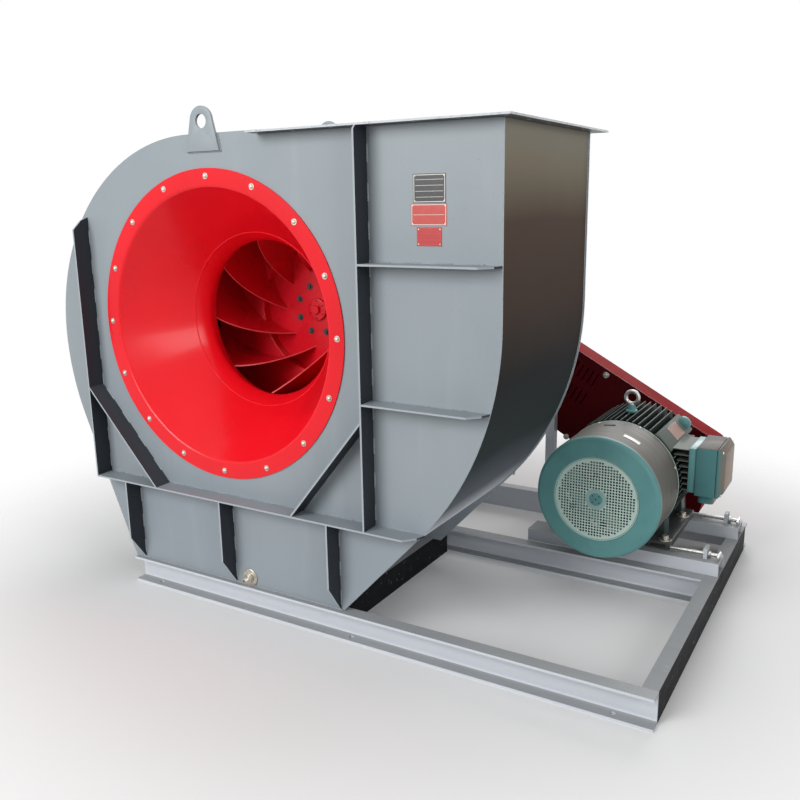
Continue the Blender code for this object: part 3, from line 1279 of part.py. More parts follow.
def build_motor_rotor(rotor):
    r = MOTOR_SHAFT_RADIUS
    seat = r * FAN_SEAT_SHARE
    core = MOTOR_BORE_RADIUS - ROTOR_AIR_GAP
    core_front, core_rear = MOTOR_FRAME_FRONT_Y + ROTOR_CORE_INSET, MOTOR_FRAME_REAR_Y - ROTOR_CORE_INSET
    low, high = COOLING_FAN_FRONT_Y, COOLING_FAN_FRONT_Y + COOLING_FAN_WIDTH
    fan_end, shaft_end = low - COOLING_SHAFT_TIP, PULLEY_CENTRE_Y + pulley_width() / 2
    profile = [
        (0, fan_end), (seat, fan_end), (seat, high + GAP), (r, high + GAP), (r, core_front),
        (core, core_front), (core, core_rear), (r, core_rear), (r, shaft_end), (0, shaft_end),
    ]
    add("motor_rotor", turned(profile, SMALL_ROUND, closed=False), BRIGHT_STEEL, rotor, smooth=True)
    bore, tip = seat + GAP, COOLING_HUB_RADIUS * FAN_SEAT_SHARE
    hub = [(bore, low), (tip, low), (COOLING_HUB_RADIUS, high), (bore, high)]
    fan = add("cooling_fan", turned(hub, SMALL_ROUND), MOTOR_TEAL, rotor)
    half = COOLING_BLADE_WALL / 2
    for index in range(COOLING_BLADES):
        sheet = rectangle((bore + tip) / 2, -half, COOLING_FAN_RADIUS, half)
        blade = prism(sheet, "Y", low + COOLING_BLADE_WALL, high - COOLING_BLADE_WALL)
        turn = Matrix.Rotation(2 * math.pi * index / COOLING_BLADES, 3, "Y")
        bmesh.ops.rotate(blade, verts=blade.verts, cent=(0, 0, 0), matrix=turn)
        weld(fan, tool(f"cooling_blade_{index + 1}", blade, rotor))


# Rails that the motor slides on, and the screws that push it


def build_rail(name, y, unit):
    """A channel laid on its flange tips, with slots for the foot bolts and a block for the screw."""
    half, floor = CHANNEL_HEIGHT / 2, BASE_TOP + GAP
    outline = [(y + up - half, floor + CHANNEL_FLANGE - GAP - out) for out, up in channel_section()]
    right = RAIL_LEFT_X + RAIL_LENGTH
    outline = [(a, max(b, floor)) for a, b in outline]
    rail = add(name, prism(outline, "X", RAIL_LEFT_X, right), BASE_GREY, unit)
    block = rectangle(y - STOP_WIDTH / 2, RAIL_TOP - STOP_WELD, y + STOP_WIDTH / 2, RAIL_TOP + STOP_HEIGHT)
    weld(rail, tool(f"{name}_block", prism(block, "X", STOP_X, STOP_X + STOP_WALL), unit))
    slots = bmesh.new()
    for x in RAIL_SLOTS_X:
        run, end = RAIL_SLOT_LENGTH / 2 - RAIL_SLOT_WIDTH / 2, RAIL_SLOT_WIDTH / 2
        slot = arc((x + run, y), end, -90, 90, 4) + arc((x - run, y), end, 90, 270, 4)
        extrude_outline(slots, slot, "Z", RAIL_TOP - RAIL_SLOT_WIDTH, RAIL_TOP + RAIL_SLOT_WIDTH)
    cut(rail, tool(f"{name}_slots", slots, unit))
    hole = cylinder(SCREW_RADIUS * 1.3, (STOP_X, y, RAIL_TOP + SCREW_HEIGHT), "X", STOP_WALL * 4, 16)
    cut(rail, tool(f"{name}_screw_hole", hole, unit))


def build_screw(name, y, motor):
    """A T-headed screw that bears on the end of the motor's foot."""
    z = RAIL_TOP + SCREW_HEIGHT - MOTOR_Z
    start = MOTOR_FOOT_REACH + GAP
    end = SCREW_END_X - MOTOR_X
    shank = cylinder(SCREW_RADIUS, ((start + end) / 2, y, z), "X", end - start, TINY_ROUND)
    screw = add(name, shank, BRIGHT_STEEL, motor)
    head = cylinder(SCREW_RADIUS * 0.8, (end - SCREW_RADIUS, y, z), "Y", SCREW_HANDLE, TINY_ROUND)
    weld(screw, tool(f"{name}_head", head, motor))


def build():
    for old in list(bpy.data.objects):
        bpy.data.objects.remove(old)
    unit = marker("fan_unit", (UNIT_X, UNIT_Y, 0))
    axis = marker("fan_axis", (0, 0, AXIS_HEIGHT), unit)
    rotor = marker("fan_rotor_axis", (0, 0, 0), axis)
    motor = marker("motor_seat", (MOTOR_X, 0, MOTOR_Z), unit)
    motor_rotor = marker("motor_rotor_axis", (0, 0, 0), motor)
    build_base(unit)
    build_casing(axis)
    build_inlet(axis)
    build_shaft_seal(axis)
    build_front_ribs(axis)
    build_rear_ribs(axis)
    build_lugs(axis)
    build_drain(axis)
    build_pedestal(axis)
    build_bearing("front_bearing", BEARING_FRONT_Y, axis)
    build_bearing("rear_bearing", BEARING_REAR_Y, axis)
    build_fan_shaft(rotor)
    build_wheel(rotor)
    pulley("driven_pulley", DRIVEN_PULLEY_RADIUS, SHAFT_NECK_RADIUS + GAP, rotor)
    build_belts(axis)
    build_guard(axis, unit)
    build_motor_frame(motor)
    build_motor_shields(motor)
    build_cowl(motor)
    build_terminal_box(motor)
    build_eyebolt(motor)
    build_motor_rotor(motor_rotor)
    pulley("drive_pulley", DRIVE_PULLEY_RADIUS, MOTOR_SHAFT_RADIUS + GAP, motor_rotor)
    build_rail("front_motor_rail", FRONT_RAIL_Y, unit)
    build_rail("rear_motor_rail", REAR_RAIL_Y, unit)
    build_screw("front_tension_screw", FRONT_RAIL_Y, motor)
    build_screw("rear_tension_screw", REAR_RAIL_Y, motor)


build()
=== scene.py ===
"""How the industrial centrifugal fan looks: paint, weld beads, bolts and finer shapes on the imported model.

Metres, +Z up. Shapes are drawn from the machine's own corner, with X 0 on the fan axis, Y 0 at the front edge
of the base and Z 0 on the floor. They move to the frame's origin when a piece is made.
"""

import math

import bmesh
import bpy
from mathutils import Matrix, Vector


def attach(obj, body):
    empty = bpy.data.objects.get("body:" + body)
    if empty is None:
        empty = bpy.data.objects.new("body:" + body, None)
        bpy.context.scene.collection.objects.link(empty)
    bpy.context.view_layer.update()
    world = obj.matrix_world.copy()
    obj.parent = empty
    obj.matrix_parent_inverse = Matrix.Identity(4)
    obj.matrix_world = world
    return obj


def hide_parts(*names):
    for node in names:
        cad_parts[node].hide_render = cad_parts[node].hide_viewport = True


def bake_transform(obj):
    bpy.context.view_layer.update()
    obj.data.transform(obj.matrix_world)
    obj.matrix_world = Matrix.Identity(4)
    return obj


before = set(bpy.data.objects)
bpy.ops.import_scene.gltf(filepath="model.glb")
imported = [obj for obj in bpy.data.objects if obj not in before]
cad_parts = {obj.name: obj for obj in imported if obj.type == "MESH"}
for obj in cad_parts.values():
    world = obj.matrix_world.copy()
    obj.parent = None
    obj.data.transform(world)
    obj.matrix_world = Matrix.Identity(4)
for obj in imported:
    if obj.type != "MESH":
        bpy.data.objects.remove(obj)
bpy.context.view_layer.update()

# Places and sizes shared by several pieces

CORNER = Vector((-0.374, -0.77635, 0.0))
FAN = (0.0, 0.0, 1.017)
MOTOR = (1.1115, 0.0, 0.377)
GAP = 0.0003
TO_UP = Matrix.Rotation(math.pi / 2, 4, "X")
TO_RIGHT = Matrix.Rotation(-math.pi / 2, 4, "Z")
TO_FRONT = Matrix.Rotation(math.pi, 4, "Z")
TO_REAR = Matrix.Identity(4)

PLATE_FRONT = 0.020
PLATE_REAR = 0.710
PLATE_WALL = 0.005
SCROLL_TOP = 0.632
FLANGE_UNDERSIDE = 0.6195
FLANGE_TOP = 0.6255
FLANGE_LEFT = 0.2205
FLANGE_RIGHT = 1.091
SCROLL_RIGHT = 1.049
SCROLL_FOOT = -0.9167
SCROLL_FEET = (-0.4917, 0.4878)
SCROLL_CENTRES = ((-0.0695, 0.0695), (-0.0695, -0.0695), (0.0695, -0.0695), (0.0695, 0.0695))
SCROLL_RADII = (0.5625, 0.7015, 0.8405, 0.9795)
WRAP_WALL = 0.004
OUTLET_LEFT = 0.2675
TONGUE_RADIUS = 0.018

WHEEL_RADIUS = 0.500
WHEEL_BACK = 0.602
EYE_RADIUS = 0.293
BLADE_INNER = 0.152

COWL_RADIUS = 0.2275
COWL_FRONT = 0.7115
COWL_REAR = 0.9847
FRAME_FRONT = 0.985
FRAME_REAR = 1.330
GRILLE_RADIUS = 0.1504
BOX_FRONT = 1.000
BOX_REAR = 1.205
GUARD_FRONT = 1.4818
GUARD_REAR = 1.600
PULLEY_FRONT, PULLEY_REAR = 1.4848, 1.5952
GROOVES = (1.50175, 1.52725, 1.55275, 1.57825)
PULLEY_RADII = (0.108, 0.160)
BEARINGS = {"front": 0.942, "rear": 1.318}


# Sizes of one group of pieces each

INLET_HOLE, SHAFT_HOLE = 0.482, 0.062
FOLD_POINTS = 15
FLANGE_FRONT, FLANGE_REAR = -0.037, 0.767
FLANGE_HOLE_INSET = (0.0235, 0.0285)
LUG_EYE = (0, 0.669)
LUG_RADIUS, LUG_HOLE, LUG_WALL = 0.047, 0.022, 0.010
LUG_FOOT, LUG_HALF_FOOT = 0.576, 0.070
LUG_SIDES = (("front", 0.0097, 0.0190), ("rear", 0.7103, 0.7110))
LUG_SEAMS = (
    (-0.071, 0.575, 0.071, 0.575), (0.071, 0.575, 0.0605, 0.628), (-0.071, 0.575, -0.0605, 0.628),
)
STITCH_PITCH, STITCH_LENGTH = 0.11, 0.05
STITCH_INSET, STITCH_OFFSET = 0.015, 0.0042
BARS_BOTH_SIDES = (
    ((-0.592, -0.585), (-0.592, 0.365)), ((0.619, -0.585), (0.619, 0.615)),
    ((-0.590, -0.592), (0.790, -0.592)), ((-0.441, -0.910), (-0.441, -0.600)),
    ((0.020, -0.910), (0.020, -0.600)), ((0.475, -0.910), (0.475, -0.600)),
)
BARS_FRONT = (
    ((0.630, 0.232), (1.030, 0.232)), ((0.630, -0.184), (1.000, -0.184)),
    ((-0.585, -0.255), (-0.290, -0.582)), ((0.612, -0.247), (0.340, -0.582)),
)
PLATE_BORDER, PLATE_BORDER_WIDTH = 0.002, 0.0022
PLATE_ROW_INSET, PLATE_RIVET_INSET = 0.008, 0.0055
DRAIN = (0.087, -0.886)
CONE_WALL, CONE_RING_RADIUS = 0.004, 0.525
CONE_BEND, CONE_BEND_RADIUS = 0.475, 0.012
CONE_THROAT = ((0.314, 0.247), (0.3005, 0.266), (0.2915, 0.283), (0.2868, 0.295), (0.285, 0.305))
CONE_SEAM = (0.3125, 0.246)
CONE_BOLTS, CONE_BOLT_CIRCLE = 16, 0.500

SHROUD_FRONT, SHROUD_WALL, SHROUD_SLOPE = 0.299, 0.004, 16
SHROUD_BEND, SHROUD_BEND_Y = 0.050, 0.320
BLADE_COUNT, BLADE_START, BLADE_LEAN, BLADE_WALL = 9, 223.1, 1.05, 0.005
BLADE_BEND, BLADE_EYE_Y = (0.225, 0.410), 0.335
SHAFT_SEAT = 0.0303
HUB_BOLT_CIRCLE = 0.095

FIN_COUNT, FIN_PITCH, FIN_ROOT = 13, 0.022, 0.198
FIN_TIPS = (0.232, 0.232, 0.217, 0.232)
PAD_ANGLE, PAD_RADIUS = 45, 0.236
NECK_FRONT, NECK_REAR = 1.008, 1.197
FOOT_INNER, FOOT_OUTER = 0.128, 0.2215
FOOT_BOTTOM, FOOT_TOP, FOOT_FRONT = -0.2285, -0.201, 0.925
LEG_OUTLINE = ((0.132, -0.213), (0.1875, -0.213), (0.180, -0.080), (0.100, -0.130))
LEG_STARTS, LEG_WIDTH = (0.987, 1.258), 0.070
MOTOR_BORE = 0.0308
COWL_WALL, COWL_BEND = 0.0025, 0.018
COWL_PLUG_ANGLE, COWL_PLATE_START, COWL_PLATE_SWEEP = 94.6, 58.5, 16.0
HOLE_PITCH, HOLE_RADIUS, HOLE_ROWS = 0.0105, 0.0041, 27
DOT_CLUSTERS = ((0.0915, 91), (0.128, 46), (0.091, 10), (0.094, 205), (0.094, 290))
BOX_LEVELS, BOX_RIGHT = (-0.030, 0.156), 0.3805
EYEBOLT_Y, EYEBOLT_SEAT = 1.130, 0.2323
TENSION_SCREWS = (("front", 0.9285), ("rear", 1.320))
SCREW_LEVEL, SCREW_START, SCREW_END, SCREW_RADIUS = 0.161, 1.3333, 1.5120, 0.007

GUARD_LEAN, GUARD_WALL = 0.77, 0.002
GUARD_CORNERS = ((-0.190, -0.212), (1.6196, -0.212), (1.5016, 0.160), (-0.190, 0.160))
GUARD_CORNER_RADII = (0.120, 0.060, 0.030, 0.120)
BELT_SECTION = (
    (0.0006, -0.0102), (0.0, -0.0096), (0.0, 0.0096), (0.0006, 0.0102), (0.013, 0.0063), (0.013, -0.0063),
)
HOUSING_HALF_WIDTH, HOUSING_BORE, HOUSING_DOME = 0.050, 0.0628, 0.088
HOUSING_LUG, HOUSING_LUG_TOP = 0.118, 0.022
BEARING_BORE = 0.0353
WELD_BOTTOM, WELD_TOP = 0.012, 0.088
BASE_WELDS = (
    (-0.4327, 0.0480), (-0.4327, 1.4300), (1.4707, 0.0480), (1.4707, 1.4300), (-0.4330, 0.8280),
    (-0.4330, 0.8760), (1.4710, 0.8280), (1.4710, 0.8760), (0.404, 0.0483), (0.452, 0.0483),
)


# Paints and metals


def srgb(red, green, blue):
    """A colour as it looks on screen, 0 to 255, turned into the numbers that the shader wants."""
    shares = [value / 255 for value in (red, green, blue)]
    return (*(s / 12.92 if s <= 0.04045 else ((s + 0.055) / 1.055) ** 2.4 for s in shares), 1.0)


class Wire:
    """A value in a material, on which arithmetic adds Math nodes."""

    def __init__(self, finish, socket):
        self.finish = finish
        self.socket = socket

    def maths(self, operation, first, second):
        return self.finish.node("ShaderNodeMath", {"operation": operation}, {0: first, 1: second})

    def __add__(self, other):
        return self.maths("ADD", self, other)

    __radd__ = __add__

    def __sub__(self, other):
        return self.maths("SUBTRACT", self, other)

    def __rsub__(self, other):
        return self.maths("SUBTRACT", other, self)

    def __mul__(self, other):
        return self.maths("MULTIPLY", self, other)

    def __truediv__(self, other):
        return self.maths("DIVIDE", self, other)

    def __abs__(self):
        return self.maths("ABSOLUTE", self, 0.0)

    def root(self):
        return self.maths("SQRT", self, 0.0)

    def swell(self, low, high):
        """0 below low and 1 above high, with a soft change between them."""
        settings = {"interpolation_type": "SMOOTHSTEP"}
        return self.finish.node("ShaderNodeMapRange", settings, {0: self, 1: low, 2: high, 3: 0.0, 4: 1.0})


class Finish:
    """A material whose colour, roughness and relief come from the place on the machine."""

    def __init__(self, name, colour, roughness, metallic=0.0, coat=0.0):
        self.material = bpy.data.materials.new(name)
        self.material.use_nodes = True
        self.tree = self.material.node_tree
        self.shader = self.tree.nodes["Principled BSDF"]
        self.shader.inputs["Metallic"].default_value = metallic
        self.shader.inputs["Coat Weight"].default_value = coat
        self.shader.inputs["Coat Roughness"].default_value = 0.12
        self.place = self.node("ShaderNodeTexCoord", {}, {}, "Object")
        self.colour = colour
        self.roughness = roughness
        self.reliefs = []

    def node(self, kind, settings, sockets, output=0):
        """Adds a node of any kind: its settings first, then the values or wires of its sockets."""
        node = self.tree.nodes.new(kind)
        for name, value in settings.items():
            if name == "stops":
                self.set_stops(node.color_ramp, value)
            else:
                setattr(node, name, value)
        for name, value in sockets.items():
            if isinstance(value, Wire):
                self.tree.links.new(value.socket, node.inputs[name])
            else:
                node.inputs[name].default_value = value
        return Wire(self, node.outputs[output])

    @staticmethod
    def set_stops(ramp, stops):
        while len(ramp.elements) < len(stops):
            ramp.elements.new(1.0)
        for element, (position, colour) in zip(ramp.elements, stops):
            element.position = position
            element.color = colour

    def ramp(self, value, *stops):
        return self.node("ShaderNodeValToRGB", {"stops": stops}, {0: value}, "Color")

    def dull(self, specular):
        self.shader.inputs["Specular IOR Level"].default_value = specular

    def stretched(self, x, y, z):
        return self.node("ShaderNodeVectorMath", {"operation": "MULTIPLY"}, {0: self.place, 1: (x, y, z)})

    def noise(self, scale, detail=3.0, where=None, rough=0.55):
        sockets = {"Vector": where or self.place, "Scale": scale, "Detail": detail, "Roughness": rough}
        return self.node("ShaderNodeTexNoise", {}, sockets, "Fac")

    def along(self, axis):
        """The place along X, Y or Z from the machine's own corner."""
        origin = CORNER["XYZ".index(axis)]
        return self.node("ShaderNodeSeparateXYZ", {}, {0: self.place}, axis) - origin

    def facing(self, axis):
        normal = self.node("ShaderNodeNewGeometry", {}, {}, "Normal")
        return self.node("ShaderNodeSeparateXYZ", {}, {0: normal}, axis)

    def radius(self, centre):
        """Distance from an axis that runs along Y."""
        x, z = self.along("X") - centre[0], self.along("Z") - centre[2]
        return (x * x + z * z).root()

    def mix(self, share, first, second):
        sockets = {0: share, 6: first, 7: second}
        return self.node("ShaderNodeMix", {"data_type": "RGBA"}, sockets, 2)

    def stain(self, share, colour):
        self.colour = self.mix(share, self.colour, colour)

    def relief(self, height, distance, strength=1.0):
        sockets = {"Height": height, "Distance": distance, "Strength": strength}
        if self.reliefs:
            sockets["Normal"] = self.reliefs[-1]
        self.reliefs.append(self.node("ShaderNodeBump", {}, sockets))

    def done(self):
        """Connects what was worked out and hands over the material."""
        inputs = self.shader.inputs
        for name, value in (("Base Color", self.colour), ("Roughness", self.roughness)):
            if isinstance(value, Wire):
                self.tree.links.new(value.socket, inputs[name])
            else:
                inputs[name].default_value = value
        if self.reliefs:
            self.tree.links.new(self.reliefs[-1].socket, inputs["Normal"])
        return self.material


def casing_paint(name, colour, shade):
    """Satin machine paint over rolled sheet: soft mottling, a few runs and fine specks."""
    finish = Finish(name, colour, 0.4)
    finish.dull(0.3)
    clouds = finish.noise(2.2, 4.0)
    finish.stain(clouds.swell(0.35, 0.75) * 0.5, shade)
    runs = finish.noise(9.0, 5.0, finish.stretched(1.0, 1.0, 0.12))
    finish.stain(runs.swell(0.55, 0.8) * 0.16, srgb(196, 204, 210))
    specks = finish.noise(140.0, 2.0)
    finish.stain(specks.swell(0.68, 0.76) * 0.35, srgb(92, 96, 98))
    finish.roughness = 0.30 + clouds * 0.14 + specks * 0.06
    finish.relief(finish.noise(3.2, 2.0), 0.006, 0.35)
    finish.relief(finish.noise(420.0, 2.0), 0.0004, 0.35)
    return finish


def casing_front():
    finish = casing_paint("casing_front_paint", srgb(156, 165, 170), srgb(144, 154, 162))
    # Bluer and darker towards the bottom.
    low = 1.0 - finish.along("Z").swell(0.10, 0.75)
    finish.stain(low * 0.35, srgb(136, 146, 158))
    # Painted shade: faces turned down, such as the flange's underside, are painted nearly black.
    painted_underside_shade = (0.0 - finish.facing("Z")).swell(0.4, 0.8)
    finish.stain(painted_underside_shade * 0.9, srgb(44, 46, 48))
    return finish.done()


def scroll_paint():
    """Painted reflection on the outlet side: brown at the top, nearly black lower down and grey again under
    the belly.
    """
    finish = casing_paint("scroll_sheet_paint", srgb(140, 148, 154), srgb(124, 132, 138))
    finish.dull(0.02)
    finish.roughness = 0.62
    height = finish.along("Z") / 1.7 + (finish.noise(1.4, 2.0) - 0.5) * 0.05
    # Painted reflection and painted light by height, on the faces turned to +X.
    painted_reflection_bands = finish.ramp(
        height, (0.10, srgb(250, 252, 255)), (0.22, srgb(236, 240, 248)), (0.30, srgb(104, 110, 118)),
        (0.40, srgb(46, 54, 54)), (0.53, srgb(34, 34, 33)), (0.66, srgb(74, 58, 48)),
        (0.80, srgb(90, 72, 60)), (0.90, srgb(144, 134, 114)), (0.96, srgb(162, 156, 142)),
    )
    finish.stain(finish.facing("X").swell(0.0, 0.35) * 0.94, painted_reflection_bands)
    return finish.done()


def rib_paint():
    """The flats of an upright bar and the undersides carry painted shade, a level bar's flats are grey, and
    the bars' outer faces carry a painted highlight.
    """
    finish = casing_paint("rib_paint", srgb(150, 158, 164), srgb(132, 140, 148))
    finish.dull(0.2)
    # Painted shade on the side faces of upright bars.
    upright = abs(finish.facing("X")).swell(0.5, 0.8)
    finish.stain(upright * 0.95, srgb(34, 38, 46))
    # Painted shade on faces turned down.
    painted_underside_shade = (0.0 - finish.facing("Z")).swell(0.2, 0.6)
    finish.stain(painted_underside_shade * 0.9, srgb(34, 38, 44))
    # Painted highlight on the bars' outer faces.
    edge = abs(finish.facing("Y")).swell(0.3, 0.7)
    finish.stain(edge * 0.9, srgb(176, 184, 190))
    return finish.done()


def base_paint(name, dark_sides):
    """Grey primer on rolled channel: mill streaks along the steel and scuffs, a painted highlight on faces
    turned to the front, painted shade on the tops, and painted shade on the sides of some.
    """
    finish = Finish(name, srgb(168, 172, 176), 0.42)
    finish.dull(0.3)
    streaks = finish.noise(14.0, 4.0, finish.stretched(0.35, 1.0, 2.2))
    finish.stain(streaks.swell(0.4, 0.75) * 0.5, srgb(134, 138, 142))
    # Painted highlight: faces turned to the front are painted lighter.
    front = (0.0 - finish.facing("Y")).swell(0.5, 0.9)
    finish.stain(front * 0.8, srgb(218, 223, 231))
    # Painted shade: faces turned up are painted a little darker.
    top = finish.facing("Z").swell(0.5, 0.9)
    finish.stain(top * 0.8, srgb(156, 158, 160))
    if dark_sides:
        finish.dull(0.02)
        # Painted shade: faces turned to either side are painted nearly black.
        side = abs(finish.facing("X")).swell(0.2, 0.6)
        finish.stain(side * 0.97, srgb(18, 18, 20))
    scuffs = finish.noise(55.0, 5.0, finish.stretched(0.3, 1.0, 1.0), 0.7)
    finish.stain(scuffs.swell(0.62, 0.7) * 0.5, srgb(196, 196, 194))
    finish.roughness = 0.34 + streaks * 0.2
    finish.relief(finish.noise(160.0, 3.0), 0.0006, 0.5)
    return finish.done()


def gloss_red(name, colour, shade, coat):
    """Thick gloss enamel: even colour, orange peel, and a thin darker film in places."""
    finish = Finish(name, colour, 0.22, coat=coat)
    finish.dull(0.25)
    clouds = finish.noise(3.0, 3.0)
    finish.stain(clouds.swell(0.35, 0.75) * 0.4, shade)
    finish.roughness = 0.20 + clouds * 0.12
    finish.relief(finish.noise(6.0, 2.0), 0.005, 0.22)
    finish.relief(finish.noise(260.0, 2.0), 0.0004, 0.3)
    return finish


def cone_paint():
    return gloss_red("inlet_red_enamel", srgb(244, 20, 36), srgb(222, 10, 26), coat=0.2).done()


def wheel_paint():
    finish = gloss_red("wheel_red_enamel", srgb(226, 22, 42), srgb(170, 6, 20), coat=0.12)
    dirt = finish.noise(16.0, 5.0, rough=0.7)
    finish.stain(dirt.swell(0.58, 0.75) * 0.4, srgb(96, 10, 14))
    return finish.done()


def guard_paint():
    finish = gloss_red("guard_red_enamel", srgb(150, 16, 22), srgb(114, 8, 14), coat=0.0)
    finish.dull(0.03)
    dust = finish.noise(12.0, 5.0, rough=0.7)
    finish.stain(dust.swell(0.5, 0.8) * 0.3, srgb(160, 46, 42))
    scratches = finish.noise(40.0, 3.0, finish.stretched(3.0, 1.0, 0.25))
    finish.stain(scratches.swell(0.68, 0.74) * 0.5, srgb(212, 104, 98))
    finish.roughness = 0.55 + dust * 0.2
    return finish.done()


# Painted shade: a darker copy of the guard red, for the guard's front panel.
def guard_inner_paint():
    finish = gloss_red("guard_inner_enamel", srgb(78, 8, 14), srgb(34, 4, 8), coat=0.0)
    finish.dull(0.1)
    return finish.done()


def motor_paint(name, colour, shade):
    """Hammer-smooth machine enamel on cast iron and sheet."""
    finish = Finish(name, colour, 0.36, coat=0.08)
    finish.dull(0.25)
    clouds = finish.noise(9.0, 4.0)
    finish.stain(clouds.swell(0.35, 0.75) * 0.45, shade)
    finish.stain(finish.noise(38.0, 5.0, rough=0.7).swell(0.62, 0.75) * 0.25, srgb(70, 74, 72))
    finish.roughness = 0.28 + clouds * 0.16
    finish.relief(finish.noise(240.0, 3.0), 0.0005, 0.4)
    return finish


def fin_paint():
    """Painted dark between the fins as painted shade, with thin painted highlights on the tips."""
    finish = motor_paint("motor_fin_paint", srgb(26, 35, 35), srgb(16, 23, 23))
    finish.dull(0.05)
    # Painted highlight on the fin tips.
    tips = finish.radius(MOTOR).swell(0.2306, 0.2318)
    finish.stain(tips * 0.75, srgb(124, 132, 126))
    finish.roughness = 0.6
    return finish.done()


def foot_paint():
    """Teal painted dark under the motor as painted shade, grey on the foot itself."""
    # Painted shade: a dark copy of the motor teal.
    finish = motor_paint("motor_foot_paint", srgb(50, 66, 66), srgb(34, 44, 44))
    low = 1.0 - finish.along("Z").swell(0.17, 0.19)
    finish.stain(low * 0.7, srgb(92, 92, 90))
    return finish.done()


def cowl_side_paint():
    """The cowl's rolled side: a brown-grey painted reflection over the teal, brushed round, with painted
    highlights on the rims and painted shade lower down.
    """
    finish = Finish("cowl_side_paint", srgb(112, 110, 104), 0.34)
    finish.dull(0.2)
    brushed = finish.noise(26.0, 4.0, finish.stretched(0.25, 5.0, 0.25))
    finish.stain(brushed.swell(0.35, 0.7) * 0.5, srgb(84, 80, 74))
    # Painted shade: darker towards the bottom of the cowl.
    low = 1.0 - finish.along("Z").swell(0.2, 0.42)
    finish.stain(low * 0.6, srgb(60, 64, 60))
    # Painted highlight along the front and rear rims.
    rims = abs(finish.along("Y") - 0.862).swell(0.112, 0.122)
    finish.stain(rims * 0.7, srgb(150, 168, 164))
    finish.roughness = 0.42 + brushed * 0.2
    finish.relief(brushed, 0.0003, 0.4)
    return finish.done()


def terminal_box_paint():
    """Teal, with a brown-grey painted reflection on the upward and outward faces."""
    finish = motor_paint("terminal_box_paint", srgb(84, 134, 136), srgb(70, 118, 120))
    finish.dull(0.1)
    # Painted reflection on faces turned up.
    up = finish.facing("Z").swell(0.3, 0.8)
    finish.stain(up * 0.9, srgb(104, 94, 88))
    # Patchy painted reflection on faces turned outwards.
    out = finish.facing("X").swell(0.5, 0.95)
    blotch = finish.noise(14.0, 3.0).swell(0.35, 0.65)
    finish.stain(out * (0.75 + blotch * 0.2), srgb(150, 122, 104))
    finish.roughness = 0.42 + up * 0.2
    return finish.done()


# Painted light: the perforated disc is a pale, lit copy of the teal, going back towards the teal in the
# unpierced middle.
def grille_paint():
    finish = motor_paint("grille_paint", srgb(206, 230, 220), srgb(180, 212, 204))
    middle = 1.0 - finish.radius(MOTOR).swell(0.036, 0.042)
    finish.stain(middle * 0.5, srgb(96, 150, 150))
    return finish.done()


def steel(name, colour, roughness=0.28):
    """Zinc-plated or machined steel with fine marks."""
    finish = Finish(name, colour, roughness, metallic=0.85)
    marks = finish.noise(180.0, 4.0, finish.stretched(1.0, 1.0, 0.2))
    finish.stain(marks.swell(0.4, 0.7) * 0.5, srgb(120, 118, 112))
    finish.stain(finish.noise(30.0, 4.0).swell(0.6, 0.75) * 0.35, srgb(98, 84, 66))
    finish.roughness = roughness + marks * 0.15
    return finish.done()


def cast_iron():
    finish = Finish("dark_cast_iron", srgb(66, 70, 72), 0.6, metallic=0.35)
    grain = finish.noise(90.0, 5.0, rough=0.7)
    finish.stain(grain.swell(0.4, 0.7) * 0.5, srgb(44, 46, 48))
    finish.stain(finish.noise(12.0, 4.0).swell(0.6, 0.8) * 0.4, srgb(92, 70, 54))
    finish.roughness = 0.5 + grain * 0.25
    finish.relief(grain, 0.0012, 0.6)
    return finish.done()


def belt_rubber():
    finish = Finish("belt_rubber", srgb(30, 30, 31), 0.7)
    dust = finish.noise(60.0, 4.0, rough=0.7)
    finish.stain(dust.swell(0.5, 0.75) * 0.5, srgb(66, 64, 62))
    finish.roughness = 0.6 + dust * 0.25
    return finish.done()


def weld_paint(name, colour, shade):
    finish = Finish(name, colour, 0.45)
    finish.stain(finish.noise(220.0, 3.0).swell(0.4, 0.65) * 0.7, shade)
    finish.relief(finish.noise(500.0, 3.0), 0.0008, 0.8)
    return finish.done()


def patchy(name, colour, shade, roughness, scale, low=0.5, coat=0.0):
    """One colour with soft patches of another."""
    finish = Finish(name, colour, roughness, coat=coat)
    finish.stain(finish.noise(scale).swell(low, 0.7) * 0.5, shade)
    return finish.done()


def plate_print(name, colour, wear):
    """A bare printed plate whose colour has faded a little in patches."""
    finish = Finish(name, colour, 0.35)
    finish.stain(finish.noise(45.0, 4.0).swell(0.45, 0.75) * 0.25, wear)
    return finish.done()


CASING = casing_front()
# Painted highlight along the cut edges of the side plates and the flange.
SHEET_EDGE = patchy("sheet_edge_paint", srgb(196, 202, 206), srgb(130, 138, 144), 0.4, 60.0)
SCROLL = scroll_paint()
RIB = rib_paint()
BASE = base_paint("base_channel_paint", dark_sides=False)
# The end and cross channels take painted shade on their sides.
SHADED_SIDES_BASE = base_paint("end_channel_paint", dark_sides=True)
CONE_RED = cone_paint()
WHEEL_RED = wheel_paint()
# Painted highlight along the blades' edges.
BLADE_EDGE = patchy("blade_edge_enamel", srgb(236, 92, 96), srgb(214, 30, 40), 0.3, 70.0, coat=0.5)
GUARD_RED = guard_paint()
SHADED_GUARD_PANEL = guard_inner_paint()
TEAL = motor_paint("motor_teal_enamel", srgb(104, 160, 160), srgb(86, 140, 142)).done()
FINS = fin_paint()
COWL_SIDE = cowl_side_paint()
FEET = foot_paint()
BOX_TEAL = terminal_box_paint()
GRILLE = grille_paint()
ZINC = steel("zinc_plated_steel", srgb(214, 208, 196))
BRIGHT = steel("bright_steel", srgb(200, 200, 198), 0.22)
IRON = cast_iron()
RUBBER = belt_rubber()
GREY_WELD = weld_paint("painted_weld", srgb(162, 170, 176), srgb(120, 128, 134))
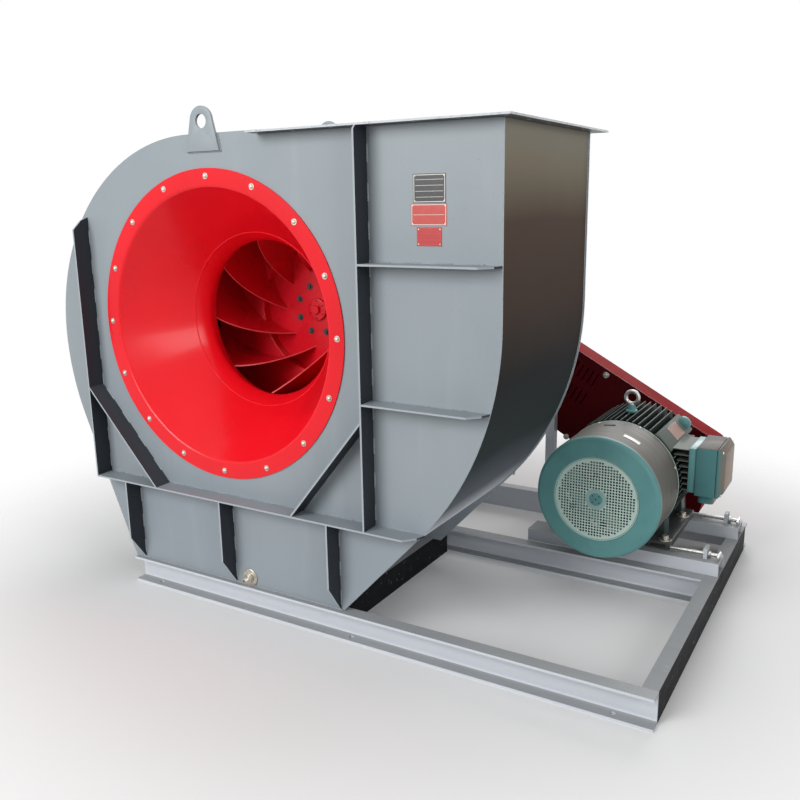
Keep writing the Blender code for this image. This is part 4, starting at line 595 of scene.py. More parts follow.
# Near black: the own colour of the nose-cap screws and the cowl plug, and painted shade on the foot recesses
# and on the cooling fan behind the grille.
DARK = patchy("dark_recess", srgb(16, 18, 20), srgb(34, 36, 38), 0.6, 40.0, low=0.4)
BLACK_PLATE = plate_print("black_plate", srgb(28, 28, 30), srgb(70, 70, 72))
ORANGE_PLATE = plate_print("orange_red_plate", srgb(196, 62, 52), srgb(214, 96, 84))
RED_PLATE = plate_print("red_plate", srgb(190, 40, 44), srgb(204, 80, 78))
WHITE_PRINT = plate_print("white_print", srgb(220, 216, 210), srgb(190, 186, 180))
BROWN_PLATE = plate_print("brown_plate", srgb(150, 108, 88), srgb(116, 84, 70))


# Modelling helpers


def grid(columns, rows, where):
    """A sheet of faces, each point of which is put where the given function says."""
    bm = bmesh.new()
    bmesh.ops.create_grid(bm, x_segments=columns, y_segments=rows, size=1.0)
    for vert in bm.verts:
        column = round((vert.co.x + 1) / 2 * columns)
        row = round((vert.co.y + 1) / 2 * rows)
        vert.co = where(column, row)
    return bm


def arc(centre, radius, start, end, steps):
    """Points along an arc, in degrees counted from the first axis towards the second."""
    turns = [math.radians(start + (end - start) * step / steps) for step in range(steps + 1)]
    return [(centre[0] + radius * math.cos(turn), centre[1] + radius * math.sin(turn)) for turn in turns]


def circle(centre, radius, steps):
    return arc(centre, radius, 0, 360 - 360 / steps, steps - 1)


def spread(low, high, count):
    """Numbers from low to high, evenly apart."""
    return [low + (high - low) * step / (count - 1) for step in range(count)]


def rectangle(low, high):
    return [low, (high[0], low[1]), high, (low[0], high[1])]


def rounded(low, high, radius, steps=4):
    """Rectangle with round corners."""
    corners = (
        ((high[0] - radius, high[1] - radius), 0), ((low[0] + radius, high[1] - radius), 90),
        ((low[0] + radius, low[1] + radius), 180), ((high[0] - radius, low[1] + radius), 270),
    )
    return [point for centre, start in corners for point in arc(centre, radius, start, start + 90, steps)]


def ribbon(path, wall):
    """The closed outline of a sheet of that thickness which is bent along the path."""
    left, right = [], []
    for index, point in enumerate(path):
        before, after = path[max(index - 1, 0)], path[min(index + 1, len(path) - 1)]
        into = Vector((point[0] - before[0], point[1] - before[1]))
        out = Vector((after[0] - point[0], after[1] - point[1]))
        into = into.normalized() if into.length else out.normalized()
        out = out.normalized() if out.length else into
        middle = (into + out).normalized()
        reach = wall / 2 / max(middle.dot(out), 0.5)
        left.append((point[0] - middle.y * reach, point[1] + middle.x * reach))
        right.append((point[0] + middle.y * reach, point[1] - middle.x * reach))
    return left + right[::-1]


def across(axis, height, point):
    a, b = point
    return {"X": (height, a, b), "Y": (a, height, b), "Z": (a, b, height)}[axis]


def push_out(bm, faces, way):
    """Extrudes the faces and moves the new ones that way."""
    grown = bmesh.ops.extrude_face_region(bm, geom=faces)["geom"]
    verts = [item for item in grown if isinstance(item, bmesh.types.BMVert)]
    bmesh.ops.translate(bm, verts=verts, vec=way)


def slab(outline, low, high, axis="Y", holes=()):
    """A flat plate of any outline, with holes, that fills low to high along an axis."""
    bm = bmesh.new()
    edges = []
    for loop in (outline, *holes):
        verts = [bm.verts.new(across(axis, low, point)) for point in loop]
        edges += [bm.edges.new(pair) for pair in zip(verts, verts[1:] + verts[:1])]
    if holes:
        filled = bmesh.ops.triangle_fill(bm, use_beauty=True, use_dissolve=False, edges=edges)["geom"]
        faces = [item for item in filled if isinstance(item, bmesh.types.BMFace)]
    else:
        faces = [bm.faces.new(verts)]
    push_out(bm, faces, across(axis, high - low, (0, 0)))
    bmesh.ops.recalc_face_normals(bm, faces=bm.faces)
    return bm


def turned(profile, steps=128, closed=True):
    """Spins a profile of (radius, y) points round the Y axis."""
    bm = bmesh.new()
    verts = [bm.verts.new((radius, y, 0)) for radius, y in profile]
    edges = [bm.edges.new(pair) for pair in zip(verts, verts[1:])]
    if closed:
        edges.append(bm.edges.new((verts[-1], verts[0])))
    bmesh.ops.spin(
        bm, geom=verts + edges, cent=(0, 0, 0), axis=(0, 1, 0),
        angle=2 * math.pi, steps=steps, use_merge=True,
    )
    bmesh.ops.remove_doubles(bm, verts=bm.verts, dist=1e-6)
    bmesh.ops.recalc_face_normals(bm, faces=bm.faces)
    return bm


def soften(bm, width, segments=2, steeper=40):
    """Rounds every edge that is sharper than the given angle."""
    limit = math.radians(steeper)
    edges = [edge for edge in bm.edges if edge.is_manifold and edge.calc_face_angle(0) > limit]
    bmesh.ops.bevel(
        bm, geom=edges, offset=width, segments=segments, profile=0.5, affect="EDGES", material=-1,
        clamp_overlap=True,
    )
    return bm


def box(low, high, edge=0.0, segments=2):
    bm = bmesh.new()
    size = Vector(high) - Vector(low)
    middle = (Vector(high) + Vector(low)) / 2
    bmesh.ops.create_cube(bm, size=1.0, matrix=Matrix.Translation(middle) @ Matrix.Diagonal((*size, 1.0)))
    return soften(bm, edge, segments) if edge else bm


def rod(path, radius, sides=10, ripple=0.0):
    """A round bar along a path, closed at both ends. A ripple makes it a weld bead."""
    path = [Vector(point) for point in path]
    last = len(path) - 1
    rings = []
    side = None
    for index, point in enumerate(path):
        ahead = (path[min(index + 1, last)] - path[max(index - 1, 0)]).normalized()
        side = ahead.orthogonal() if side is None else side - ahead * side.dot(ahead)
        side.normalize()
        rings.append((point, side.copy(), ahead.cross(side)))

    def where(column, row):
        point, out, up = rings[column]
        turn = 2 * math.pi * row / sides
        reach = radius * (1 + ripple * math.sin(column * 2.1))
        return point + (out * math.cos(turn) + up * math.sin(turn)) * reach

    bm = grid(last, sides, where)
    bmesh.ops.remove_doubles(bm, verts=bm.verts, dist=1e-6)
    bmesh.ops.holes_fill(bm, edges=bm.edges, sides=sides)
    bmesh.ops.recalc_face_normals(bm, faces=bm.faces)
    return bm


def bead(start, end, radius=0.003, pitch=0.004):
    """A straight weld bead."""
    start, end = Vector(start), Vector(end)
    steps = max(2, round((end - start).length / pitch))
    return rod([start.lerp(end, step / steps) for step in range(steps + 1)], radius, 6, 0.22)


def gather(*shapes):
    """One bmesh that holds all of the given ones."""
    whole = bmesh.new()
    for shape in shapes:
        mesh = bpy.data.meshes.new("part")
        shape.to_mesh(mesh)
        shape.free()
        whole.from_mesh(mesh)
        bpy.data.meshes.remove(mesh)
    return whole


def copies(shape, places):
    """One bmesh with the shape set down by each of the matrices."""
    mesh = bpy.data.meshes.new("part")
    shape.to_mesh(mesh)
    shape.free()
    whole = bmesh.new()
    for place in places:
        before = len(whole.verts)
        whole.from_mesh(mesh)
        whole.verts.ensure_lookup_table()
        bmesh.ops.transform(whole, matrix=place, verts=whole.verts[before:])
    bpy.data.meshes.remove(mesh)
    return whole


def moved(shape, matrix):
    bmesh.ops.transform(shape, matrix=matrix, verts=shape.verts)
    return shape


def shift(x, y, z):
    return Matrix.Translation((x, y, z))


def ring_of(count, radius, y, first=90.0, turn=TO_FRONT):
    """Places evenly round the Y axis, each turned to face the given way."""
    places = []
    for index in range(count):
        angle = math.radians(first + 360 * index / count)
        places.append(shift(radius * math.cos(angle), y, radius * math.sin(angle)) @ turn)
    return places


def use(bm, index, chosen=None):
    """Gives a material index to the faces that the function picks, or to all of them."""
    for face in bm.faces:
        if chosen is None or chosen(face):
            face.material_index = index
    return bm


def hexagon_head(across_flats, height, washer=True):
    """A bolt head that grows along +Y from its seat, on a washer."""
    low = across_flats * 0.16 if washer else 0.0
    head = bmesh.new()
    radius = across_flats / math.sqrt(3)
    bmesh.ops.create_cone(
        head, cap_ends=True, segments=6, radius1=radius, radius2=radius, depth=height,
        matrix=shift(0, low + height / 2, 0) @ Matrix.Rotation(-math.pi / 2, 4, "X"),
    )
    soften(head, across_flats * 0.06, 1)
    if not washer:
        return head
    reach = across_flats * 1.05
    disc = turned([(0, 0), (reach, 0), (reach, low * 0.8), (reach * 0.96, low), (0, low)], 24, closed=False)
    return gather(head, disc)


def domed_head(radius, height, washer=0.0):
    """A round-headed bolt that grows along +Y, on a washer."""
    low = 0.0015 if washer else 0.0
    turns = [math.pi / 2 * step / 6 for step in range(7)]
    dome = [(radius * math.cos(turn), low + height * math.sin(turn)) for turn in turns]
    dome[-1] = (0, low + height)
    profile = [(0, 0), (washer, 0), (washer, low)] if washer else [(0, 0)]
    return turned([*profile, *dome], 20, closed=False)


def piece(name, bm, body, paints, at=(0, 0, 0), stands_for=(), sharp=32):
    """Makes an object of the bmesh, which rides on a body, if one is given, and may stand for CAD nodes."""
    bmesh.ops.remove_doubles(bm, verts=bm.verts, dist=1e-6)
    bmesh.ops.recalc_face_normals(bm, faces=bm.faces)
    bmesh.ops.translate(bm, verts=bm.verts, vec=CORNER + Vector(at))
    mesh = bpy.data.meshes.new(name)
    bm.to_mesh(mesh)
    bm.free()
    mesh.shade_smooth()
    mesh.set_sharp_from_angle(angle=math.radians(sharp))
    thing = bpy.data.objects.new(name, mesh)
    bpy.context.scene.collection.objects.link(thing)
    for paint in paints:
        mesh.materials.append(paint)
    if body:
        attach(thing, body)
    if stands_for:
        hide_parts(*stands_for)
    return thing


def welds(name, beads, at=FAN):
    """Weld beads as one piece."""
    piece(name, gather(*beads), "root", [GREY_WELD], at)


# Scroll casing. Outlines are (x, z) from the fan axis.


def tangent_angle(centre, radius, point, side):
    """Where a line from the point touches the circle, in degrees."""
    dx, dz = point[0] - centre[0], point[1] - centre[1]
    opening = math.degrees(math.acos(radius / math.hypot(dx, dz)))
    return math.degrees(math.atan2(dz, dx)) + side * opening


def side_plate_outline():
    left, right = SCROLL_FEET
    right_touch = tangent_angle(SCROLL_CENTRES[3], SCROLL_RADII[3], (right, SCROLL_FOOT), 1)
    left_touch = tangent_angle(SCROLL_CENTRES[2], SCROLL_RADII[2], (left, SCROLL_FOOT), -1) + 360
    top, step = FLANGE_UNDERSIDE - GAP, FLANGE_LEFT - GAP
    outline = [(step, SCROLL_TOP), (step, top), (SCROLL_RIGHT, top)]
    outline += arc(SCROLL_CENTRES[3], SCROLL_RADII[3], 0, right_touch, 60)
    outline += [(right, SCROLL_FOOT), (left, SCROLL_FOOT)]
    outline += arc(SCROLL_CENTRES[2], SCROLL_RADII[2], left_touch, 180, 24)
    outline += arc(SCROLL_CENTRES[1], SCROLL_RADII[1], 180, 90, 60)[1:]
    return outline


def wrap_path(inset):
    """The line of the scroll sheet, from the right outlet edge round to the left one."""
    top = FLANGE_UNDERSIDE - GAP
    path = [(SCROLL_RIGHT - inset, top)]
    for index, start, end in ((3, 0, -90), (2, 270, 180), (1, 180, 90)):
        bend = arc(SCROLL_CENTRES[index], SCROLL_RADII[index] - inset, start, end, 60)
        path += bend if index == 3 else bend[1:]
    centre, radius = SCROLL_CENTRES[0], SCROLL_RADII[0] - inset
    wall = OUTLET_LEFT + WRAP_WALL / 2
    fold = wall - TONGUE_RADIUS
    reach = fold - centre[0]
    fold_height = centre[1] + math.sqrt((radius + TONGUE_RADIUS) ** 2 - reach**2)
    touch = math.degrees(math.atan2(fold_height - centre[1], reach))
    path += arc(centre, radius, 90, touch, 24)[1:]
    path += arc((fold, fold_height), TONGUE_RADIUS, touch - 180, 0, 12)[1:]
    path.append((wall, top))
    return path


def build_casing():
    outline = side_plate_outline()
    plates = (
        ("front_plate", PLATE_FRONT, PLATE_FRONT + PLATE_WALL, INLET_HOLE, "front_side_plate"),
        ("rear_plate", PLATE_REAR - PLATE_WALL, PLATE_REAR, SHAFT_HOLE, "rear_side_plate"),
    )
    for name, low, high, hole, node in plates:
        plate = slab(outline, low, high, holes=[circle((0, 0), hole, 128)])
        # Edge faces take the painted highlight.
        use(plate, 1, lambda face: abs(face.normal.y) < 0.5)
        piece(name, plate, "root", [CASING, SHEET_EDGE], FAN, [node])
    inner = PLATE_FRONT + PLATE_WALL + GAP, PLATE_REAR - PLATE_WALL - GAP
    sheet = slab(ribbon(wrap_path(PLATE_WALL + WRAP_WALL / 2), WRAP_WALL), *inner)
    piece("scroll_sheet", sheet, "root", [SCROLL], FAN, ["scroll_wrap"])
    before_fold = wrap_path(PLATE_WALL)[:-FOLD_POINTS]
    seams = [rod([(x, y, z) for x, z in before_fold], 0.0025, 6, 0.1) for y in inner]
    welds("scroll_seams", seams)


def build_flange():
    inset_x, inset_y = FLANGE_HOLE_INSET
    left, right = FLANGE_LEFT + inset_x, FLANGE_RIGHT - inset_x
    front, rear = FLANGE_FRONT + inset_y, FLANGE_REAR - inset_y
    points = [(x, y) for x in spread(left, right, 7) for y in (front, rear)]
    points += [(x, y) for y in spread(front, rear, 6)[1:-1] for x in (left, right)]
    holes = [rectangle((OUTLET_LEFT + WRAP_WALL, 0.025), (SCROLL_RIGHT - 0.009, 0.705))]
    holes += [circle(point, 0.006, 20) for point in points]
    outline = rectangle((FLANGE_LEFT, FLANGE_FRONT), (FLANGE_RIGHT, FLANGE_REAR))
    flange = slab(outline, FLANGE_UNDERSIDE, FLANGE_TOP, "Z", holes)
    # Edge faces take the painted highlight.
    use(flange, 1, lambda face: abs(face.normal.z) < 0.5)
    piece("outlet_flange_ring", flange, "root", [CASING, SHEET_EDGE], FAN, ["outlet_flange"])


def fixings(name, head, places, body="root", at=FAN, paint=None):
    """A row of equal bolts or screws as one piece."""
    return piece(name, copies(head, places), body, [paint or ZINC], at)


def build_lugs():
    touch = tangent_angle(LUG_EYE, LUG_RADIUS, (LUG_HALF_FOOT, LUG_FOOT), 1)
    outline = [(-LUG_HALF_FOOT, LUG_FOOT), (LUG_HALF_FOOT, LUG_FOOT)]
    outline += arc(LUG_EYE, LUG_RADIUS, touch, 180 - touch, 40)
    for word, low, seam in LUG_SIDES:
        lug = slab(outline, low, low + LUG_WALL, holes=[circle(LUG_EYE, LUG_HOLE, 40)])
        soften(lug, 0.0015, 2, 60)
        piece(f"{word}_lug", lug, "root", [CASING], FAN, [f"{word}_lifting_lug"])
        seams = [bead((a, seam, b), (c, seam, d), 0.0028) for a, b, c, d in LUG_SEAMS]
        welds(f"{word}_lug_weld", seams)


def stitches(start, end, y):
    """Short weld runs on both sides of a bar, drawn as (x, z) from the fan axis."""
    start, end = Vector(start), Vector(end)
    along = (end - start).normalized()
    side = Vector((-along.y, along.x)) * STITCH_OFFSET
    count = max(1, round((end - start).length / STITCH_PITCH))
    pitch = (end - start).length / count
    runs = []
    for index in range(count):
        for offset in (side, -side):
            low = start + along * (pitch * index + STITCH_INSET) + offset
            high = low + along * min(STITCH_LENGTH, pitch - STITCH_INSET * 2)
            runs.append(bead((low.x, y, low.y), (high.x, y, high.y), 0.0026))
    return runs


def build_bar_welds():
    both = BARS_BOTH_SIDES
    for word, y, lines in (("front", 0.0192, both + BARS_FRONT), ("rear", 0.7108, both)):
        runs = [run for start, end in lines for run in stitches(start, end, y)]
        welds(f"{word}_bar_welds", runs)
    z = SCROLL_FOOT + 0.002
    feet = [bead((-0.488, y, z), (0.484, y, z), 0.003) for y in (0.0185, 0.7115)]
    welds("casing_foot_welds", feet)


def printed_plate(name, low, high, face, trim, rows):
    """A thin plate with a raised border and a few bare rows, held by four rivets."""
    def inside(inset):
        return (low[0] + inset, low[1] + inset), (high[0] - inset, high[1] - inset)

    y = PLATE_FRONT - GAP
    sheet = box((low[0], y - 0.0010, low[1]), (high[0], y, high[1]), 0.0004, 1)
    outer, inner = rectangle(*inside(PLATE_BORDER)), rectangle(*inside(PLATE_BORDER + PLATE_BORDER_WIDTH))
    marks = [slab(outer, y - 0.0013, y - 0.0009, holes=[inner])]
    for row in range(rows):
        z = low[1] + (high[1] - low[1]) * (row + 1) / (rows + 1)
        left, right = low[0] + PLATE_ROW_INSET, high[0] - PLATE_ROW_INSET
        marks.append(box((left, y - 0.0012, z - 0.0006), (right, y - 0.0009, z + 0.0006)))
    marks = use(gather(*marks), 1)
    near, far = inside(PLATE_RIVET_INSET)
    corners = [(x, z) for x in (near[0], far[0]) for z in (near[1], far[1])]
    rivets = copies(domed_head(0.0022, 0.0012), [shift(x, y - 0.0010, z) @ TO_FRONT for x, z in corners])
    piece(name, gather(sheet, marks, use(rivets, 2)), "root", [face, trim, ZINC], FAN)


def build_plates():
    printed_plate("upper_plate", (0.7738, 0.4040), (0.8774, 0.4829), BLACK_PLATE, WHITE_PRINT, 4)
    printed_plate("middle_plate", (0.7662, 0.3410), (0.8802, 0.4020), ORANGE_PLATE, WHITE_PRINT, 1)
    printed_plate("lower_plate", (0.7847, 0.2850), (0.8643, 0.3370), RED_PLATE, ORANGE_PLATE, 2)


def build_drain():
    """A hexagon nut with a threaded nipple through it."""
    x, z = DRAIN
    nut = moved(hexagon_head(0.030, 0.016), shift(x, 0.0197, z) @ TO_FRONT)
    threads = [(0.0095 + 0.0008 * (step % 2), step * 0.0012) for step in range(17)]
    bore = [(0.0088, 0.0200), (0.006, 0.0200), (0.006, 0.010), (0, 0.010)]
    nipple = turned([(0, 0), *threads, *bore], 32, closed=False)
    nipple = moved(nipple, shift(x, 0.0017, z) @ TO_FRONT)
    piece("drain_fitting", gather(nut, nipple), "root", [ZINC], FAN, ["drain_plug"])


def build_inlet():
    ring_y = PLATE_FRONT - GAP - CONE_WALL / 2
    bend = arc((CONE_BEND, ring_y + CONE_BEND_RADIUS), CONE_BEND_RADIUS, 270, 215, 8)
    cone = turned(ribbon([(CONE_RING_RADIUS, ring_y), *bend, *CONE_THROAT], CONE_WALL), 192)
    piece("inlet_ring_and_cone", cone, "root", [CONE_RED], FAN, ["inlet_cone"], sharp=11)
    seam = turned(circle(CONE_SEAM, 0.0018, 10), 160)
    piece("cone_seam", seam, "root", [CONE_RED], FAN)
    places = ring_of(CONE_BOLTS, CONE_BOLT_CIRCLE, ring_y - CONE_WALL / 2)
    fixings("cone_bolts", domed_head(0.0075, 0.006, 0.010), places)


# Wheel


def shroud_curve(steps=10):
    radius = SHROUD_BEND
    centre = (EYE_RADIUS + radius, SHROUD_BEND_Y)
    bend = arc(centre, radius, 180, 90 + SHROUD_SLOPE, steps)
    rise = (WHEEL_RADIUS - bend[-1][0]) * math.tan(math.radians(SHROUD_SLOPE))
    return [(EYE_RADIUS, SHROUD_FRONT), *bend, (WHEEL_RADIUS, bend[-1][1] + rise)]


def blade_front():
    """The blade's front edge as (radius, y), from the backplate to the eye and out under the shroud."""
    start, bend = Vector((BLADE_INNER, WHEEL_BACK)), Vector(BLADE_BEND)
    end = Vector((EYE_RADIUS, BLADE_EYE_Y))
    shares = [step / 14 for step in range(15)]
    points = [start.lerp(bend, share).lerp(bend.lerp(end, share), share) for share in shares]
    under = [Vector((radius, y + GAP)) for radius, y in shroud_curve() if y > BLADE_EYE_Y]
    last = under.pop()
    before = under[-1]
    points += under
    points += [before.lerp(last, share) for share in (0.25, 0.5, 0.75, 0.985)]
    return points


def blade():
    """One sheet that leans back as it goes out, thickened. Its edges take their own paint, a painted
    highlight.
    """
    front = blade_front()

    def where(column, row):
        radius, y = front[column]
        turn = -BLADE_LEAN * math.log(radius / BLADE_INNER)
        return (radius * math.cos(turn), y + (WHEEL_BACK - y) * row / 3, radius * math.sin(turn))

    sheet = grid(len(front) - 1, 3, where)
    bmesh.ops.remove_doubles(sheet, verts=sheet.verts, dist=1e-5)
    bmesh.ops.recalc_face_normals(sheet, faces=sheet.faces)
    sides = len(sheet.faces)
    bmesh.ops.solidify(sheet, geom=sheet.faces[:], thickness=BLADE_WALL)
    sheet.faces.ensure_lookup_table()
    for face in sheet.faces[sides * 2:]:
        face.material_index = 1
    return sheet


def build_wheel():
    back, rim, neck = WHEEL_BACK, WHEEL_RADIUS, SHAFT_SEAT
    backplate = turned([
        (neck, back), (0.498, back), (rim, back + 0.002), (rim, back + 0.006), (0.498, back + 0.008),
        (neck, back + 0.008),
    ], 160)
    turns = [math.radians(BLADE_START + 360 / BLADE_COUNT * index) for index in range(BLADE_COUNT)]
    blades = copies(blade(), [Matrix.Rotation(-turn, 4, "Y") for turn in turns])
    ring = turned([
        (0.2455, back), (0.2440, 0.5700), (0.2455, 0.5675), (0.2475, 0.5668), (0.496, 0.5668),
        (0.4985, 0.5690), (0.4985, back),
    ], 160)
    wheel = gather(backplate, ring, blades)
    paints = [WHEEL_RED, BLADE_EDGE]
    piece("bladed_backplate", wheel, "fan_rotor", paints, FAN, ["impeller_backplate"])
    shroud = turned(ribbon(shroud_curve(), SHROUD_WALL), 160)
    bmesh.ops.translate(shroud, verts=shroud.verts, vec=(0, -SHROUD_WALL / 2, 0))
    piece("wheel_shroud", shroud, "fan_rotor", [WHEEL_RED], FAN, ["impeller_shroud"])
    hub = turned([
        (neck, 0.6103), (0.114, 0.6103), (0.115, 0.6113), (0.115, 0.6275), (0.1135, 0.6283),
        *arc((0.070, 0.6403), 0.012, 270, 180, 6), (0.058, 0.6883), (0.056, 0.6903), (neck, 0.6903),
    ], 96)
    piece("wheel_hub", hub, "fan_rotor", [IRON], FAN, ["impeller_hub"])
    cap = turned([
        (0, 0.5977), (neck, 0.5977), (neck, 0.6017), (0.044, 0.6017), (0.044, 0.592),
        *arc((0.0415, 0.592), 0.0025, 0, -90, 4)[1:], (0.024, 0.5895), (0.0235, 0.5885), (0, 0.5885),
    ], 64, closed=False)
    nut = moved(hexagon_head(0.034, 0.0095, washer=False), shift(0, 0.5887, 0) @ TO_FRONT)
    piece("nose_cap", gather(cap, nut), "fan_rotor", [WHEEL_RED], FAN, ["hub_nose_cap"])
    places = ring_of(8, HUB_BOLT_CIRCLE, back, 22.5)
    fixings("hub_bolts", hexagon_head(0.013, 0.006), places, "fan_rotor", paint=IRON)
    places = ring_of(6, 0.034, 0.5895)
    fixings("nose_cap_screws", domed_head(0.0035, 0.002), places, "fan_rotor", paint=DARK)


# Motor


def fin_outline():
    """Cast frame with tapered fins: upright above and below, level on both sides."""
    outline = []
    for quarter, tip in enumerate(FIN_TIPS):
        cosine, sine = math.cos(math.radians(90 * quarter)), math.sin(math.radians(90 * quarter))
        for index in range(FIN_COUNT):
            middle = ((FIN_COUNT - 1) / 2 - index) * FIN_PITCH
            half = ((0.003, FIN_ROOT), (0.0022, tip - 0.0015), (0.0012, tip))
            sides = [(middle + x, radius) for x, radius in half]
            sides += [(middle - x, radius) for x, radius in half[::-1]]
            for x, radius in sides:
                z = math.sqrt(radius**2 - x**2)
                outline.append((x * cosine - z * sine, x * sine + z * cosine))
    return outline


def on_round(angle, y, radius):
    """A place on something round about a Y axis: X runs round it, Y along it and Z outwards."""
    return Matrix.Rotation(math.radians(90 - angle), 4, "Y") @ shift(0, y, radius)


def build_motor_body():
    fins = slab(fin_outline(), FRAME_FRONT, FRAME_REAR)
    piece("motor_fins", fins, "motor_carriage", [FINS], MOTOR, ["motor_frame"], sharp=50)
    pad = moved(box((-0.041, 0.987, -0.060), (0.041, 1.328, 0.0), 0.004), on_round(PAD_ANGLE, 0, PAD_RADIUS))
    levels = spread(-0.014, 0.140, 8)
    plates = []
    for z in levels:
        plates.append(box((0.186, NECK_FRONT, z - 0.0016), (0.2517, NECK_REAR, z + 0.0016), 0.0006, 1))
    # The pad and the plates take the fin paint: painted shade, with the painted highlight on whatever lies
    # beyond the fin-tip radius.
    piece("motor_pads", gather(pad, *plates), "motor_carriage", [FINS], MOTOR)
    neck = box((0.2515, NECK_FRONT, -0.022), (0.2782, NECK_REAR, 0.148), 0.004)
    piece("terminal_box_neck", neck, "motor_carriage", [TEAL], MOTOR)


def build_feet():
    feet, recesses = [], []
    for side in (-1, 1):
        inner, outer = sorted((side * FOOT_INNER, side * FOOT_OUTER))
        feet.append(box((inner, FOOT_FRONT, FOOT_BOTTOM), (outer, FRAME_REAR, FOOT_TOP), 0.004))
        leg = [(side * x, z) for x, z in LEG_OUTLINE]
        feet += [soften(slab(leg, start, start + LEG_WIDTH), 0.004) for start in LEG_STARTS]
        low, high = sorted((side * 0.150, side * 0.206))
        recesses.append(slab(rounded((low, -0.221), (high, -0.209), 0.005), 0.9244, 0.9265))
    piece("motor_feet", gather(*feet), "motor_carriage", [FEET], MOTOR)
    spots = [(side * 0.196, y) for side in (-1, 1) for y in (0.952, 1.232)]
    places = [shift(x, y, FOOT_TOP) @ TO_UP for x, y in spots]
    fixings("motor_foot_bolts", hexagon_head(0.024, 0.013), places, "motor_carriage", MOTOR)
    # Painted shade: thin near black plates stand for the recesses in the feet.
    piece("motor_foot_recesses", gather(*recesses), "motor_carriage", [DARK], MOTOR)


def build_pad_plate():
    """The bare rating plate on the sloping pad, with a knob behind it."""
    plate = box((-0.029, 1.100, 0), (0.029, 1.222, 0.0012), 0.0004, 1)
    plate = moved(plate, on_round(PAD_ANGLE, 0, PAD_RADIUS))
    top = on_round(PAD_ANGLE, 0, PAD_RADIUS + 0.0012)
    corners = [top @ shift(x, y, 0) @ TO_UP for x in (-0.025, 0.025) for y in (1.105, 1.217)]
    rivets = use(copies(domed_head(0.0022, 0.0014), corners), 1)
    piece("motor_rating_plate", gather(plate, rivets), "motor_carriage", [BROWN_PLATE, ZINC], MOTOR)
    knob = turned([
        (0.026, 0), (0.026, 0.010), (0.024, 0.016), (0.018, 0.022), (0.010, 0.025), (0, 0.0255), (0, 0),
    ], 40)
    moved(knob, on_round(PAD_ANGLE, 1.290, PAD_RADIUS + 0.0002) @ TO_UP)
    piece("motor_pad_knob", knob, "motor_carriage", [TEAL], MOTOR)


def build_shields():
    """The motor's two end shields, and the bolts of the one at the drive end."""
    bore = MOTOR_BORE
    drive_end = [
        (bore, 1.3303), (0.196, 1.3303), (0.198, 1.3323), (0.198, 1.346), (0.195, 1.3483),
        *arc((0.150, 1.330), 0.034, 50, 88, 5), (0.094, 1.372), (0.091, 1.395), (0.088, 1.398), (bore, 1.398),
    ]
    fan_end = [
        (bore, 0.9847), (bore, 0.9547), (0.091, 0.9547), (0.162, 0.9627), (0.196, 0.9667), (0.198, 0.969),
        (0.198, 0.9847),
    ]
    for word, profile in (("drive", drive_end), ("fan", fan_end)):
        nodes = [f"{word}_end_shield"]
        piece(f"{word}_shield", turned(profile, 96), "motor_carriage", [TEAL], MOTOR, nodes)
    heads = ring_of(8, 0.176, 1.3483, 22.5, TO_REAR) + ring_of(6, 0.064, 1.398, 0, TO_REAR)
    fixings("shield_bolts", hexagon_head(0.017, 0.008), heads, "motor_carriage", MOTOR)


def build_cowl():
    corner = (COWL_RADIUS - COWL_BEND, COWL_FRONT + 0.008 + COWL_BEND)
    path = [(0.141, 0.7182), (0.1535, 0.7182), (0.1585, 0.71275)]
    path += arc(corner, COWL_BEND - COWL_WALL / 2, 270, 360, 10)
    path.append((COWL_RADIUS - COWL_WALL / 2, COWL_REAR))
    cowl = turned(ribbon(path, COWL_WALL), 160)
    use(cowl, 1, lambda face: face.calc_center_median().y > 0.745)
    piece("cowl_shell", cowl, "motor_carriage", [TEAL, COWL_SIDE], MOTOR, ["fan_cowl"])
    # Painted highlight: thin pale beads along the cowl's front and rear rims.
    rim = turned(circle((0.1535, 0.7146), 0.0014, 10), 128)
    rear = turned(circle((COWL_RADIUS - 0.0006, 0.9815), 0.0018, 8), 128)
    piece("cowl_rims", gather(rim, rear), "motor_carriage", [GRILLE], MOTOR)
    oval = slab(rounded((-0.022, -0.009), (0.022, 0.009), 0.0088, 8), 0, 0.0030, "Z")
    oval = moved(oval, on_round(COWL_PLUG_ANGLE, 0.911, COWL_RADIUS - 0.0012))
    piece("cowl_plug", oval, "motor_carriage", [DARK], MOTOR)
    radius = COWL_RADIUS + GAP

    def where(column, row):
        angle = math.radians(COWL_PLATE_START + COWL_PLATE_SWEEP * column / 12)
        return (math.cos(angle) * radius, 0.808 + 0.025 * row, math.sin(angle) * radius)

    plate = grid(12, 1, where)
    bmesh.ops.solidify(plate, geom=plate.faces[:], thickness=-0.0009)
    piece("cowl_plate", plate, "motor_carriage", [WHITE_PRINT], MOTOR)
    places = [on_round(angle, 0.970, COWL_RADIUS) @ TO_UP for angle in (20, 70, 110, 160)]
    fixings("cowl_screws", domed_head(0.005, 0.003), places, "motor_carriage", MOTOR)


